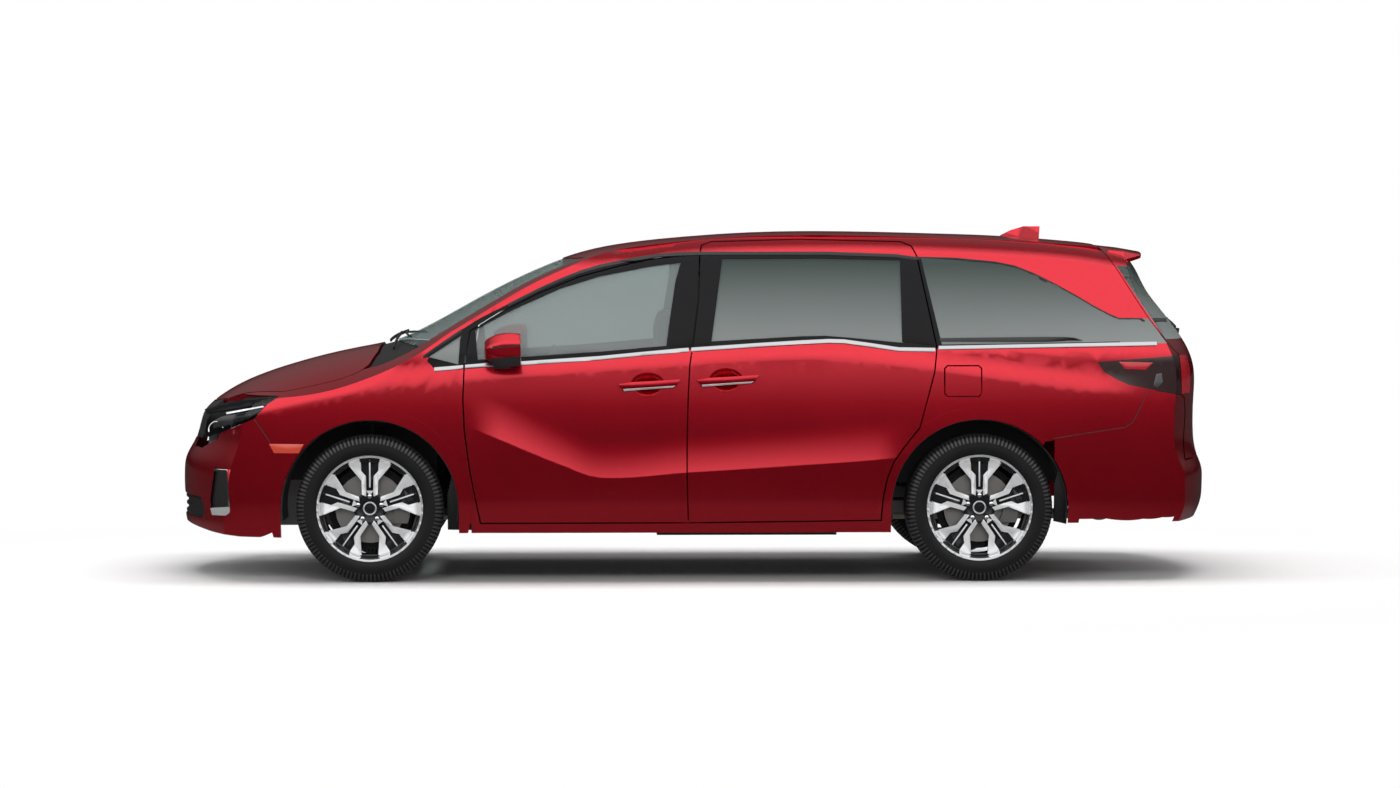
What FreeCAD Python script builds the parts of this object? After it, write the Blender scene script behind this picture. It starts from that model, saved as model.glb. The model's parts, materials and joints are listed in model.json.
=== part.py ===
# A three-row family minivan: nose towards -X, its left side towards -Y, standing on Z = 0.
import FreeCAD, Part
import math
import os
import Sketcher
from FreeCAD import Placement, Rotation, Vector

SIZES = [
    ("wheelbase", 3000, "front axle to rear axle"),
    ("front_overhang", 990, "nose to front axle"),
    ("rear_overhang", 1222, "rear axle to rear bumper"),
    ("body_width", 1994, "over the flanks, without mirrors"),
    ("roof_height", 1727, "floor to roof crown"),
    ("sill_height", 240, "floor to the underside of the sills"),
    ("floor_height", 300, "floor to the underside of the cabin floor"),
    ("floor_thick", 40, "cabin floor"),
    ("hub_height", 362, "floor to wheel centre"),
    ("track", 1710, "between the middles of the tyres of one axle"),
    ("arch_radius", 437, "wheel arch opening"),
    ("flare_width", 60, "raised lip round an arch"),
    ("flare_stand", 6, "how far that lip stands proud"),
    ("liner_wall", 4, "wheel arch liner"),
    ("shut_gap", 7, "between a moving panel and its surround"),
    ("skin_wall", 26, "fenders, hood and bumpers with their inner frames"),
    ("door_wall", 108, "doors and body side below the glass"),
    ("frame_wall", 62, "window frames and pillars"),
    ("roof_wall", 34, "roof panel with its bows"),
    ("tailgate_wall", 60, "tailgate"),
    ("glass_wall", 5, "window panes"),
    ("glass_inset", 5, "side glass behind the body surface"),
    ("lamp_depth", 70, "headlamp housings"),
    ("tyre_radius", 362, "tyre, standing under load"),
    ("tyre_width", 235, "tyre section"),
    ("rim_radius", 261, "wheel over its flanges"),
    ("rim_width", 214, "wheel over its flanges"),
    ("bead_radius", 243, "seat of the tyre on the rim"),
    ("barrel_wall", 9, "rim barrel"),
    ("spoke_count", 5, "spokes and windows"),
    ("hub_face", 50, "mounting face, outboard of the tyre's middle"),
    ("spoke_face", 88, "outer face of the spokes, outboard of the tyre's middle"),
    ("spoke_thick", 16, "spokes"),
    ("stud_circle", 120, "wheel studs"),
    ("stud_radius", 7, "wheel studs"),
    ("stud_count", 5, "wheel studs"),
    ("bore_radius", 32, "centre bore"),
    ("disc_radius", 172, "brake disc"),
    ("disc_thick", 28, "brake disc"),
    ("spindle_radius", 24, "wheel spindle"),
    ("spindle_play", 0.3, "between spindle and hub"),
    ("running_gap", 6, "between turning and still parts"),
    ("kingpin_foot", 45, "lower ball joint, inboard of the tyre's middle"),
    ("kingpin_head", 215, "strut top, inboard of the tyre's middle"),
    ("strut_radius", 20, "damper tube"),
    ("spring_radius", 62, "coil spring"),
    ("seat_width", 540, "front and middle seats"),
    ("steering_radius", 188, "steering wheel"),
    ("plate_spacing_across", 178, "holes for the rear number plate"),
    ("plate_spacing_up", 121, "holes for the rear number plate"),
    ("plate_hole", 3, "radius of those holes"),
]

doc = FreeCAD.newDocument("minivan")
sheet = doc.addObject("Spreadsheet::Sheet", "sizes")
for row, (alias, number, note) in enumerate(SIZES, start=1):
    sheet.set("A%d" % row, alias)
    sheet.set("B%d" % row, str(number))
    sheet.set("C%d" % row, note)
    sheet.setAlias("B%d" % row, alias)
doc.recompute()


def size(alias):
    return float(getattr(sheet, alias))


HALF = size("body_width") / 2
LENGTH = size("front_overhang") + size("wheelbase") + size("rear_overhang")
FRONT_AXLE = size("front_overhang") - LENGTH / 2
REAR_AXLE = FRONT_AXLE + size("wheelbase")
GAP = size("shut_gap")

# The body lines below are drawn for these places, and stretch with the sizes above.
DRAWN_FRONT = -1616.0
DRAWN_REAR = 1384.0
DRAWN_NOSE = 990.0
DRAWN_TAIL = 1222.0
DRAWN_BELT = 1150.0
DRAWN_ROOF = 1727.0


def along(x):
    """place along the car of a body line drawn at x"""
    if x < DRAWN_FRONT:
        return FRONT_AXLE + (x - DRAWN_FRONT) * size("front_overhang") / DRAWN_NOSE
    if x > DRAWN_REAR:
        return REAR_AXLE + (x - DRAWN_REAR) * size("rear_overhang") / DRAWN_TAIL
    return FRONT_AXLE + (x - DRAWN_FRONT) * size("wheelbase") / (DRAWN_REAR - DRAWN_FRONT)


def up(z):
    """height of a body line drawn at z"""
    if z < DRAWN_BELT:
        return z
    return DRAWN_BELT + (z - DRAWN_BELT) * (size("roof_height") - DRAWN_BELT) / (DRAWN_ROOF - DRAWN_BELT)


def smooth(t):
    t = max(0.0, min(1.0, t))
    return t * t * (3 - 2 * t)


def through(*points):
    """smooth function through the points, level past its ends"""
    xs = [x for x, _ in points]
    ys = [y for _, y in points]
    slopes = [0.0]
    for i in range(1, len(xs) - 1):
        slopes.append((ys[i + 1] - ys[i - 1]) / (xs[i + 1] - xs[i - 1]))
    slopes.append(0.0)

    def value(x):
        if x <= xs[0]:
            return ys[0]
        if x >= xs[-1]:
            return ys[-1]
        i = max(k for k in range(len(xs) - 1) if xs[k] <= x)
        h = xs[i + 1] - xs[i]
        t = (x - xs[i]) / h
        start = (1 + 2 * t) * (1 - t) ** 2 * ys[i] + t * (1 - t) ** 2 * h * slopes[i]
        return start + t * t * (3 - 2 * t) * ys[i + 1] + t * t * (t - 1) * h * slopes[i + 1]
    return value


# Centre line of the body from the nose over the roof to the tail:
# (x, z, how far the panel sweeps back at full width, how far it drops there).
CENTRE_LINE = [
    (-2560, 150, 400, 0), (-2585, 225, 400, 0), (-2600, 290, 400, 0), (-2600, 350, 400, 0), (-2605, 420, 400, 0),
    (-2606, 500, 400, 0), (-2598, 575, 400, 0), (-2572, 630, 380, 0), (-2545, 680, 360, 0), (-2525, 745, 345, 0),
    (-2503, 809, 330, 0), (-2461, 858, 310, 10), (-2405, 900, 270, 30), (-2330, 945, 210, 60),
    (-2235, 989, 160, 100), (-2051, 1052, 80, 150), (-1866, 1102, 50, 170), (-1681, 1141, 80, 140),
    (-1540, 1172, 150, 70), (-1420, 1220, 195, 15), (-1199, 1338, 205, 0), (-1010, 1441, 205, 0),
    (-819, 1532, 205, 5), (-573, 1623, 180, 25), (-327, 1671, 110, 45), (-50, 1700, 40, 50), (289, 1722, 0, 50),
    (781, 1727, 0, 55), (1212, 1717, 0, 60), (1620, 1701, 0, 62), (1900, 1679, -20, 60), (2090, 1652, -70, 50),
    (2190, 1610, -150, 30), (2250, 1545, -210, 5), (2310, 1435, -240, 0), (2385, 1335, -250, 0),
    (2460, 1240, -258, 0), (2520, 1150, -260, 0), (2556, 1060, -260, 0), (2565, 960, -260, 0),
    (2560, 860, -260, 0), (2558, 760, -260, 0), (2562, 670, -260, 0), (2580, 590, -260, 0),
    (2602, 530, -260, 0), (2606, 450, -260, 0), (2600, 370, -260, 0), (2570, 290, -260, 0), (2500, 150, -260, 0)]
WRAP_EDGE = 1.12    # the wrap reaches this many half widths out

# Lines along the flank, all as (x, z) or (x, inset).
edge_height = through((-2740, 780), (-2500, 845), (-2300, 895), (-2100, 940), (-1900, 985), (-1700, 1030),
                      (-1550, 1080), (-1400, 1150), (-1250, 1235), (-1100, 1322), (-900, 1432), (-700, 1525),
                      (-500, 1595), (-300, 1640), (-100, 1665), (200, 1686), (781, 1694), (1212, 1683),
                      (1620, 1663), (1900, 1640), (2060, 1615), (2300, 1585), (2740, 1560))
curl_share = through((-1750, 1), (-1450, 0), (-750, 0), (-250, 1))
shoulder = through((-2700, 790), (-2300, 800), (-2000, 850), (-1616, 935), (-1342, 969), (-1072, 989),
                   (-779, 1008), (-485, 1028), (-45, 1057), (249, 1077), (592, 1087), (836, 1067), (1169, 1028),
                   (1472, 989), (1913, 930), (2300, 900), (2700, 890))
shoulder_share = through((-2000, 0), (-1400, 1), (1900, 1), (2250, 0))
waist = through((-1500, 900), (-1160, 774), (-975, 700), (-681, 578), (-485, 514), (-45, 539), (494, 573),
                (983, 612), (1500, 700))
waist_share = through((-1160, 0), (-950, 1), (850, 1), (1100, 0))
nose_taper = through((-2700, 560), (-2606, 440), (-2500, 300), (-2400, 200), (-2300, 126), (-2200, 75),
                     (-2056, 28), (-1900, 8), (-1700, 0))
tail_taper = through((1500, 0), (1800, 10), (2000, 28), (2200, 62), (2300, 88), (2400, 124), (2500, 170),
                     (2700, 300))
glass_taper = through((-1500, 70), (-1100, 40), (-500, 8), (-200, 0), (1000, 0), (1500, 12), (2000, 45),
                      (2300, 80))
CURL = 110.0        # height over which the flank turns in to the roof or hood
TUCK = 42.0         # how far the sill turns under
LEDGE = 5.0         # half the step of the line along the doors


def half_width(x, z):
    """distance of the flank from the middle plane"""
    y = HALF - 6
    y -= TUCK * max(0.0, (400 - z) / 200.0) ** 1.6
    crease = shoulder(x)
    y -= 10 * ((min(z, crease) - 720) / 300.0) ** 2
    above = max(0.0, z - crease)
    y -= 11 * shoulder_share(x) * smooth(above / 110.0) + 0.05 * above
    y += LEDGE * waist_share(x) * (1 - 2 * smooth((z - waist(x) + 20) / 40.0))
    over = max(0.0, z - 1130)
    y -= 0.235 * over * smooth(over / 60.0 + 0.3) + 0.00011 * over * over
    y -= nose_taper(x) + tail_taper(x) + smooth((z - 1080) / 350.0) * glass_taper(x)
    turned = max(0.0, (z - edge_height(x) + CURL) / CURL)
    return y - 0.9 * CURL * curl_share(x) * min(turned, 1.4) ** 3


def cabin_lines(x):
    step = 530 + (waist(x) - 530) * waist_share(x)
    crease = shoulder(x)
    top = max(edge_height(x), 1590)
    lines = [130, 260, 380, step - 26, step, step + 26, (step + crease) / 2, crease - 20, crease, crease + 24]
    return lines + [crease + 24 + (top - crease - 149) * t for t in (0.5, 1.0)] + [top - 60, top - 10, top + 35]


def nose_lines(x):
    top = edge_height(x)
    return [130, 280, 430, 530 + (top - 655) * 0.25, 530 + (top - 655) * 0.65, top - 125, top - 60, top - 10, top + 35]


NOSE_ZONE = (nose_lines, -2000, [-2740, -2600, -2460, -2330, -2200, -2056, -1880, -1650, -1400, -1200, -1000])
CABIN_ZONE = (cabin_lines, 400, [-1600, -1250, -900, -500, 0, 600, 1200, 1650, 2000, 2300, 2520, 2740])


def lattice(grid, us, vs):
    """surface through every point of a grid"""
    rows = []
    for points in grid:
        line = Part.BSplineCurve()
        line.interpolate(Points=points, Parameters=vs)
        rows.append(line.getPoles())
    v_knots, v_mults = line.getKnots(), line.getMultiplicities()
    columns = []
    for poles in zip(*rows):
        line = Part.BSplineCurve()
        line.interpolate(Points=list(poles), Parameters=us)
        columns.append(line.getPoles())
    surface = Part.BSplineSurface()
    surface.buildFromPolesMultsKnots([list(r) for r in zip(*columns)], line.getMultiplicities(), v_mults,
                                     line.getKnots(), v_knots, False, False, 3, 3)
    return surface


def flank(inset, zone):
    """the flank's surface, moved inwards by inset(x, z)"""
    lines, middle, stations = zone
    grid = []
    for x in stations:
        grid.append([Vector(along(x), half_width(x, z) - inset(x, z), up(z)) for z in lines(x)])
    return lattice(grid, [float(x) for x in stations], [float(z) for z in lines(middle)])


def closed(faces):
    solid = Part.Solid(Part.Shell(faces))
    if solid.Volume < 0:
        solid.reverse()
    return solid


def layer(outer, inner, zone=CABIN_ZONE):
    """solid between two copies of the right flank, each moved inwards by a distance or a function"""
    faces = []
    for inset in (outer, inner):
        at = inset if callable(inset) else (lambda x, z, d=inset: d)
        faces.append(flank(at, zone).toShape())
    sides = [Part.makeRuledSurface(a, b) for a, b in zip(faces[0].Edges, faces[1].Edges)]
    return closed(faces + sides)


def wrap(inset):
    """solid under the centre line, swept across the car; inset moves its surface inwards"""
    at = [0.0]
    for a, b in zip(CENTRE_LINE, CENTRE_LINE[1:]):
        at.append(at[-1] + math.hypot(b[0] - a[0], b[1] - a[1]))
    points, bends = [], []
    for i, (x, z, sweep, drop) in enumerate(CENTRE_LINE):
        a = CENTRE_LINE[max(i - 1, 0)]
        b = CENTRE_LINE[min(i + 1, len(CENTRE_LINE) - 1)]
        run, rise = b[0] - a[0], b[1] - a[1]
        k = inset / math.hypot(run, rise)
        points.append(Vector(along(x) + rise * k, 0, up(z) - run * k))
        bends.append(Vector(sweep, at[i], -drop))
    line = Part.BSplineCurve()
    line.interpolate(Points=points, Parameters=at)
    bend = Part.BSplineCurve()
    bend.interpolate(Points=bends, Parameters=at)
    side = Vector(0, WRAP_EDGE * HALF, 0)
    poles = []
    for p, q in zip(line.getPoles(), bend.getPoles()):
        q = Vector(q.x, 0, q.z) * WRAP_EDGE ** 2
        poles.append([p + q - side, p - q, p + q + side])
    surface = Part.BSplineSurface()
    surface.buildFromPolesMultsKnots(poles, line.getMultiplicities(), [3, 3], line.getKnots(), [0.0, 1.0],
                                     False, False, line.Degree, 2)
    top = surface.toShape()
    faces, ends = [top], []
    for edge in top.Edges:
        a, b = edge.Vertexes[0].Point, edge.Vertexes[-1].Point
        if abs(a.y - b.y) < 1:
            faces.append(Part.Face(Part.Wire([edge, Part.makeLine(b, a)])))
        else:
            ends.append(edge)
    faces.append(Part.makeRuledSurface(ends[0], ends[1]))
    return closed(faces)


def side_prism(points, near=0.0, far=1300.0, spread=0.0):
    """prism across the car with an outline of drawn (x, z) points; spread grows or shrinks it"""
    corners = [Vector(along(x), near, up(z)) for x, z in points]
    wire = Part.makePolygon(corners + [corners[0]])
    if spread:
        wire = wire.makeOffset2D(spread, 2)
    return Part.Face(wire).extrude(Vector(0, far - near, 0))


def plan_prism(points, low=-100.0, high=2100.0):
    """upright prism with an outline of drawn (x, y) points"""
    corners = [Vector(along(x), y * HALF / 997.0, low) for x, y in points]
    return Part.Face(Part.makePolygon(corners + [corners[0]])).extrude(Vector(0, 0, high - low))


def face_prism(points, start, stop):
    """prism along the car with an outline of (y, z) points, between two places along it"""
    corners = [Vector(start, y, up(z)) for y, z in points]
    return Part.Face(Part.makePolygon(corners + [corners[0]])).extrude(Vector(stop - start, 0, 0))


def mirrored(shape):
    return shape.mirror(Vector(0, 0, 0), Vector(0, 1, 0))


def both(shape):
    return Part.makeCompound([shape, mirrored(shape)])


def largest(shape):
    return max(shape.Solids, key=lambda s: s.Volume)


def arch(axle, radius, low=-50.0, near=-50.0, far=1400.0):
    """wheel arch: a half cylinder open downwards"""
    centre = Vector(axle, near, size("hub_height"))
    round_top = Part.makeCylinder(radius, far - near, centre, Vector(0, 1, 0))
    below = Part.makeBox(2 * radius, far - near, size("hub_height") - low, Vector(axle - radius, near, low))
    return round_top.fuse(below)


def block(x0, x1, y0, y1, z0, z1):
    return Part.makeBox(x1 - x0, y1 - y0, z1 - z0, Vector(x0, y0, z0))


def upright(radius, x, y, z0, z1):
    return Part.makeCylinder(radius, z1 - z0, Vector(x, y, z0), Vector(0, 0, 1))


def crown(x):
    """height of the centre line over a drawn place on the hood or roof"""
    top = [(a, b) for a, b in zip(CENTRE_LINE, CENTRE_LINE[1:]) if a[0] <= x < b[0] and a[1] > 600]
    a, b = top[0]
    return up(a[1] + (b[1] - a[1]) * (x - a[0]) / (b[0] - a[0]))


pieces = {}


def add(label, shape):
    """a sub-part whose form no simpler feature gives"""
    item = doc.addObject("Part::Feature", label)
    item.Label = label
    item.Shape = shape
    item.Placement = shape.Placement
    pieces[label] = item
    return item


def pair(label, right):
    """a sub-part on each side of the car"""
    add(label + "_right", right)
    add(label + "_left", mirrored(right))


# Seams and window outlines, as drawn (x, z).
DOOR_FRONT = [(-1073, 250), (-1073, 289), (-1097, 406), (-1126, 553), (-1151, 749), (-1158, 896), (-1151, 1067),
              (-1124, 1233)]
DOOR_TOP = [(-1124, 1233), (-978, 1322), (-781, 1421), (-583, 1500), (-385, 1553), (-237, 1584), (-39, 1608),
            (9, 1612)]
DOOR_REAR = [(9, 1612), (-1, 1385), (-30, 1165), (-45, 1067), (-54, 896), (-59, 700), (-59, 504), (-52, 290)]
SLIDE_REAR = [(1060, 1650), (1084, 1600), (1169, 1165), (1171, 1141), (1159, 1033), (1130, 920), (1086, 759),
              (1008, 661), (959, 592), (924, 504), (905, 406), (897, 300)]
SLIDE_TOP = [(20, 1655), (70, 1672), (506, 1684), (1010, 1672), (1060, 1650)]
TAIL_SEAM = [(2020, 1800), (2020, 1640), (2060, 1575), (2236, 1288), (2312, 1182), (2383, 1120), (2398, 1111),
             (2407, 912), (2432, 889), (2442, 814), (2427, 681), (2427, 590)]

front_door_line = DOOR_FRONT[1:] + DOOR_TOP[1:] + DOOR_REAR[1:]
slide_door_line = SLIDE_TOP + SLIDE_REAR[1:] + DOOR_REAR[:0:-1] + [(9, 1612)]
front_window = [(-1085, 1092), (-779, 1112), (-485, 1132), (-160, 1160), (-142, 1290), (-112, 1480), (-86, 1568),
                (-237, 1548), (-484, 1500), (-680, 1440), (-918, 1334), (-1098, 1238)]
slide_window = [(62, 1182), (495, 1206), (620, 1209), (740, 1200), (985, 1176), (1140, 1172), (1060, 1560),
                (1046, 1580), (600, 1590), (120, 1588)]
tip_window = [(-1325, 1106), (-1180, 1070), (-1172, 1190), (-1165, 1212)]
quarter_window = [(1230, 1180), (1600, 1180), (2030, 1185), (2120, 1240), (2040, 1288), (1980, 1325), (1790, 1438),
                  (1690, 1488), (1590, 1525), (1490, 1545), (1320, 1560), (1142, 1568)]
quarter_pane = [(1196, 1166), (1600, 1170), (2268, 1183), (2205, 1278), (2095, 1284), (2050, 1300), (1880, 1402),
                (1780, 1455), (1680, 1504), (1590, 1540), (1488, 1562), (1300, 1580), (1104, 1592)]


def section(x, corners):
    """closed half section of the cabin's inside at a drawn place"""
    points = [Vector(along(x), y * HALF / 997.0, up(z)) for y, z in corners]
    return Part.makePolygon(points + [points[0]])


print("surfaces")
DOOR_INNER = 997 - size("door_wall") - 10
FRAME_SHIFT = size("frame_wall")
outer_wrap = wrap(0)
inner_wrap = wrap(size("skin_wall"))
roof_under = wrap(size("roof_wall"))
outer_right = layer(0, half_width).common(outer_wrap)
mid_section = [(0, 100), (DOOR_INNER - 10, 100), (DOOR_INNER, 1040), (952 - FRAME_SHIFT, 1110),
               (868 - FRAME_SHIFT - 6, 1400), (812 - FRAME_SHIFT - 10, 1540), (625, 1632), (0, 1655)]
rear_section = [(0, 100), (DOOR_INNER - 140, 100), (DOOR_INNER - 135, 1040), (807 - FRAME_SHIFT, 1110),
                (704 - FRAME_SHIFT, 1400), (652 - FRAME_SHIFT, 1490), (520, 1560), (0, 1590)]
cabin_core = Part.makeLoft([section(-1420, mid_section), section(1250, mid_section),
                            section(2400, rear_section)], True, True)
nose_full = layer(0, half_width, NOSE_ZONE).common(outer_wrap)
WALL = size("skin_wall")

# Plan outlines, as drawn (x, y) of the right half from the middle plane out and back.
HOOD_PLAN = [(-2450, 0), (-2433, 250), (-2347, 500), (-2203, 700), (-2100, 800), (-2040, 850), (-1900, 854),
             (-1760, 850), (-1700, 836), (-1655, 805), (-1620, 740), (-1590, 500), (-1583, 0)]
COWL_PLAN = [(-1583, 0), (-1590, 500), (-1620, 740), (-1655, 805), (-1560, 838), (-1372, 832), (-1400, 720),
             (-1446, 550), (-1492, 300), (-1514, 0)]
SCREEN_PLAN = [(-1514, 0), (-1492, 300), (-1446, 550), (-1400, 720), (-1372, 832), (-1200, 792), (-1000, 744),
               (-800, 700), (-560, 652), (-610, 500), (-652, 300), (-672, 0)]
ROOF_PLAN = [(-672, 0), (-652, 300), (-610, 500), (-560, 652), (-300, 655), (0, 657), (600, 659), (1200, 652),
             (1600, 635), (1800, 622), (2016, 592), (2016, 0)]


def whole_plan(half):
    return half + [(x, -y) for x, y in reversed(half) if y]


def plan_region(half, spread=0.0):
    corners = [Vector(along(x), y * HALF / 997.0, -100) for x, y in whole_plan(half)]
    wire = Part.makePolygon(corners + [corners[0]])
    if spread:
        wire = wire.makeOffset2D(spread, 2)
    return Part.Face(wire).extrude(Vector(0, 0, 2300))


SEAT = 0.3          # between two pieces that rest on each other
print("roof, hood and screen")
roof_layer = outer_wrap.cut(roof_under)
hood_layer = outer_wrap.cut(inner_wrap)
hood = hood_layer.common(plan_region(HOOD_PLAN, -GAP))
hood = largest(hood.common(Part.makeBox(2000, 2200, 900, Vector(along(-2600), -1100, 700))))
roof = largest(roof_layer.common(plan_region(ROOF_PLAN, -SEAT)))
screen_layer = wrap(4).cut(wrap(4 + size("glass_wall")))
screen_region = plan_region(SCREEN_PLAN)
above_sills = Part.makeBox(LENGTH, 2200, 2000, Vector(-LENGTH / 2, -1100, 900))
windscreen = largest(screen_layer.common(screen_region).common(above_sills))
add("windscreen", windscreen)
cowl = largest(wrap(12).cut(wrap(40)).common(plan_region(COWL_PLAN)).common(above_sills))
cowl = cowl.cut(plan_region(HOOD_PLAN, GAP / 2))
# Hood hinges: a bracket on the cowl comes up under the hood's rear edge and holds a pin across.
HINGE_X, HINGE_Y = -1600, 250
hinge_z = crown(HINGE_X) - 14
hinge_x = along(HINGE_X)
for y in (-HINGE_Y, HINGE_Y):
    cowl = cowl.fuse([block(hinge_x - 5, hinge_x + 5, y - 8, y + 8, hinge_z - 70, hinge_z + 5),
                      block(hinge_x - 5, along(-1540), y - 8, y + 8, hinge_z - 80, hinge_z - 66),
                      block(along(-1560), along(-1540), y - 8, y + 8, hinge_z - 80, crown(-1555) - 25),
                      Part.makeCylinder(3.5, 48, Vector(hinge_x, y - 24, hinge_z), Vector(0, 1, 0))])
    hood = hood.cut(block(hinge_x - 12, hinge_x + 40, y - 14, y + 14, hinge_z - 60, hinge_z + 9))
    hood = hood.cut(Part.makeCylinder(3.5 + SEAT, 60, Vector(hinge_x, y - 30, hinge_z), Vector(0, 1, 0)))
add("hood", largest(hood))
add("cowl", largest(cowl))
# Tailgate hinges: the same on the roof's rear edge.
gate_x = along(2060)
gate_z = crown(2060) - 14
GATE_Y = 300
for y in (-GATE_Y, GATE_Y):
    roof = roof.fuse([block(gate_x - 5, gate_x + 5, y - 8, y + 8, gate_z - 80, gate_z + 5),
                      block(along(1960), gate_x + 5, y - 8, y + 8, gate_z - 94, gate_z - 80),
                      block(along(1960), along(1985), y - 8, y + 8, gate_z - 94, crown(1985) - 22),
                      Part.makeCylinder(4, 48, Vector(gate_x, y - 24, gate_z), Vector(0, 1, 0))])
FIN = [(1582, 1690), (1582, 1707), (1634, 1733), (1700, 1753), (1783, 1753), (1777, 1690)]
fin = side_prism(FIN, near=-24, far=24)
fin = fin.common(face_prism([(-24, 1685), (24, 1685), (8, 1756), (-8, 1756)], along(1570), along(1795)))
add("roof", largest(roof.fuse(fin)))

FLARE_LOW = 310.0


def flare(axle, zone):
    """raised lip round a wheel arch, reaching a little into the opening that is cut after it"""
    radius = size("arch_radius")
    ring = arch(axle, radius + size("flare_width"), low=FLARE_LOW, near=700)
    ring = ring.cut(arch(axle, radius - 10, near=690, far=1410))
    return layer(-size("flare_stand"), 3, zone).common(ring)


front_flare = flare(FRONT_AXLE, NOSE_ZONE)
rear_flare = flare(REAR_AXLE, CABIN_ZONE)

print("body sides")
SIDE_OUTLINE = ([(-1073, 240), (-1073, 289), (-1097, 406), (-1126, 553), (-1151, 749), (-1158, 896),
                 (-1151, 1060), (-1298, 1050), (-1352, 1108), (-1269, 1170), (-1205, 1222), (-1205, 1900),
                 (2020, 1900)] + TAIL_SEAM[1:8] + [(2270, 936), (2243, 933), (2169, 806), (2145, 762), (2115, 747),
                (1821, 708), (1703, 688), (1600, 500), (1500, 240)])
rear_arch = arch(REAR_AXLE, size("arch_radius"))
front_arch = arch(FRONT_AXLE, size("arch_radius"))
door_hole = side_prism(front_door_line, spread=GAP / 2)
slide_hole = side_prism(slide_door_line, spread=GAP / 2)
outboard = Part.makeBox(LENGTH, 600, 2200, Vector(-LENGTH / 2, 600, 0))
cabin_walls = outer_right.common(outboard).cut(cabin_core)
side = cabin_walls.common(side_prism(SIDE_OUTLINE))
pillar_band = roof_layer.common(outer_right).common(Part.makeBox(1000, 700, 1000, Vector(along(-1400), 500, 900)))
pillar_band = pillar_band.common(side_prism(SIDE_OUTLINE)).cut(plan_region(SCREEN_PLAN, -28))
pillar_band = pillar_band.cut(side_prism([(-1500, 1800), (-440, 1800), (-440, 900), (-300, 900), (-300, 1900),
                                          (-1500, 1900)]))
side = side.fuse(pillar_band)
hinge_post = cabin_walls.common(block(-LENGTH / 2, 0, 0, 954 * HALF / 997.0, 200, 1100)).common(side_prism(
    [(-1330, 302), (-1118, 302), (-1118, 240), (-1072, 240), (-1072, 289), (-1097, 406), (-1126, 553),
     (-1151, 749), (-1158, 896), (-1151, 1055), (-1290, 1045)]))
side = side.fuse([hinge_post, rear_flare.common(side_prism(SIDE_OUTLINE))])
side = side.cut(Part.makeCompound([door_hole, slide_hole, rear_arch, front_arch]))
side = side.cut(roof_layer.common(plan_region(ROOF_PLAN)))
side = side.cut(outer_wrap.cut(wrap(4 + size("glass_wall"))).common(screen_region))
side = side.cut(side_prism(quarter_window)).cut(side_prism(tip_window))
# The centre pillar stands inside the doors, from the sill to the roof rail.
POST_WALL = 52
post_inner = [(y - POST_WALL if y > POST_WALL else 0, z) for y, z in mid_section]
post_outer = [(y - GAP if y > GAP else 0, z) for y, z in mid_section]
post = Part.makeLoft([section(-110, post_outer), section(20, post_outer)], True, True)
post = post.cut(Part.makeLoft([section(-120, post_inner), section(30, post_inner)], True, True))
post = post.common(outboard).common(Part.makeBox(200, 1000, up(1618) - 250, Vector(along(-110), 600, 250)))
foot = Part.makeBox(along(20) - along(-110), POST_WALL + GAP, 30,
                    Vector(along(-110), (DOOR_INNER - POST_WALL - GAP) * HALF / 997.0 - 6, 250))
side = side.fuse(post).fuse(foot)

FUEL_DOOR = [(1208, 925), (1222, 911), (1376, 911), (1390, 925), (1390, 1048), (1376, 1062), (1222, 1062),
             (1208, 1048)]
pocket = Part.makeBox(400, 60, 400, Vector(along(1100), half_width(1300, 985) - 55, 800))
fuel_door = layer(0, 12).common(side_prism(FUEL_DOOR, spread=-GAP / 2))
side = side.cut(side_prism(FUEL_DOOR, spread=GAP / 2).common(pocket))
fuel_x = along(1240)
fuel_y = half_width(1240, 985) - 6
side = side.fuse(upright(2, fuel_x, fuel_y, 900, 1030))
fuel_door = fuel_door.cut(upright(2 + SEAT, fuel_x, fuel_y, 880, 1045))

TAIL_LAMP = [(1965, 1079), (2100, 1089), (2324, 1104), (2398, 1111), (2407, 912), (2270, 936), (2221, 946),
             (2122, 966), (2063, 991), (1999, 1030)]
tail_lamp = cabin_walls.common(side_prism(TAIL_LAMP)).common(Part.makeBox(600, 600, 400, Vector(along(1900), 700, 850)))
side = side.cut(side_prism(TAIL_LAMP, near=700))
pane_layer = layer(0.0, size("glass_wall"))
quarter_glass = pane_layer.common(side_prism(quarter_pane))
tip_glass = layer(3, 3 + size("glass_wall")).common(side_prism(tip_window))
side = side.cut(quarter_glass)
add("quarter_glass", Part.makeCompound([quarter_glass, tip_glass, mirrored(quarter_glass), mirrored(tip_glass)]))
add("fuel_door", mirrored(fuel_door))
add("tail_lamps", both(largest(tail_lamp)))

print("doors")
door = cabin_walls.common(side_prism(front_door_line, spread=-GAP / 2)).cut(side_prism(front_window))
# The rear edge is stepped: an outer lip closes the gap and the rest stands back, so that the door swings clear.
REBATE = [(0, 240), (955, 240), (970, 500), (966, 1000), (938, 1115), (854, 1400), (797, 1540), (752, 1605), (0, 1625)]
rebate = face_prism([(y * HALF / 997.0, z) for y, z in REBATE], along(-120), along(30))
rear_strip = [(x - 24, z) for x, z in DOOR_REAR] + [(x + 20, z) for x, z in reversed(DOOR_REAR)]
door = door.cut(rebate.common(side_prism(rear_strip)))
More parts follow.
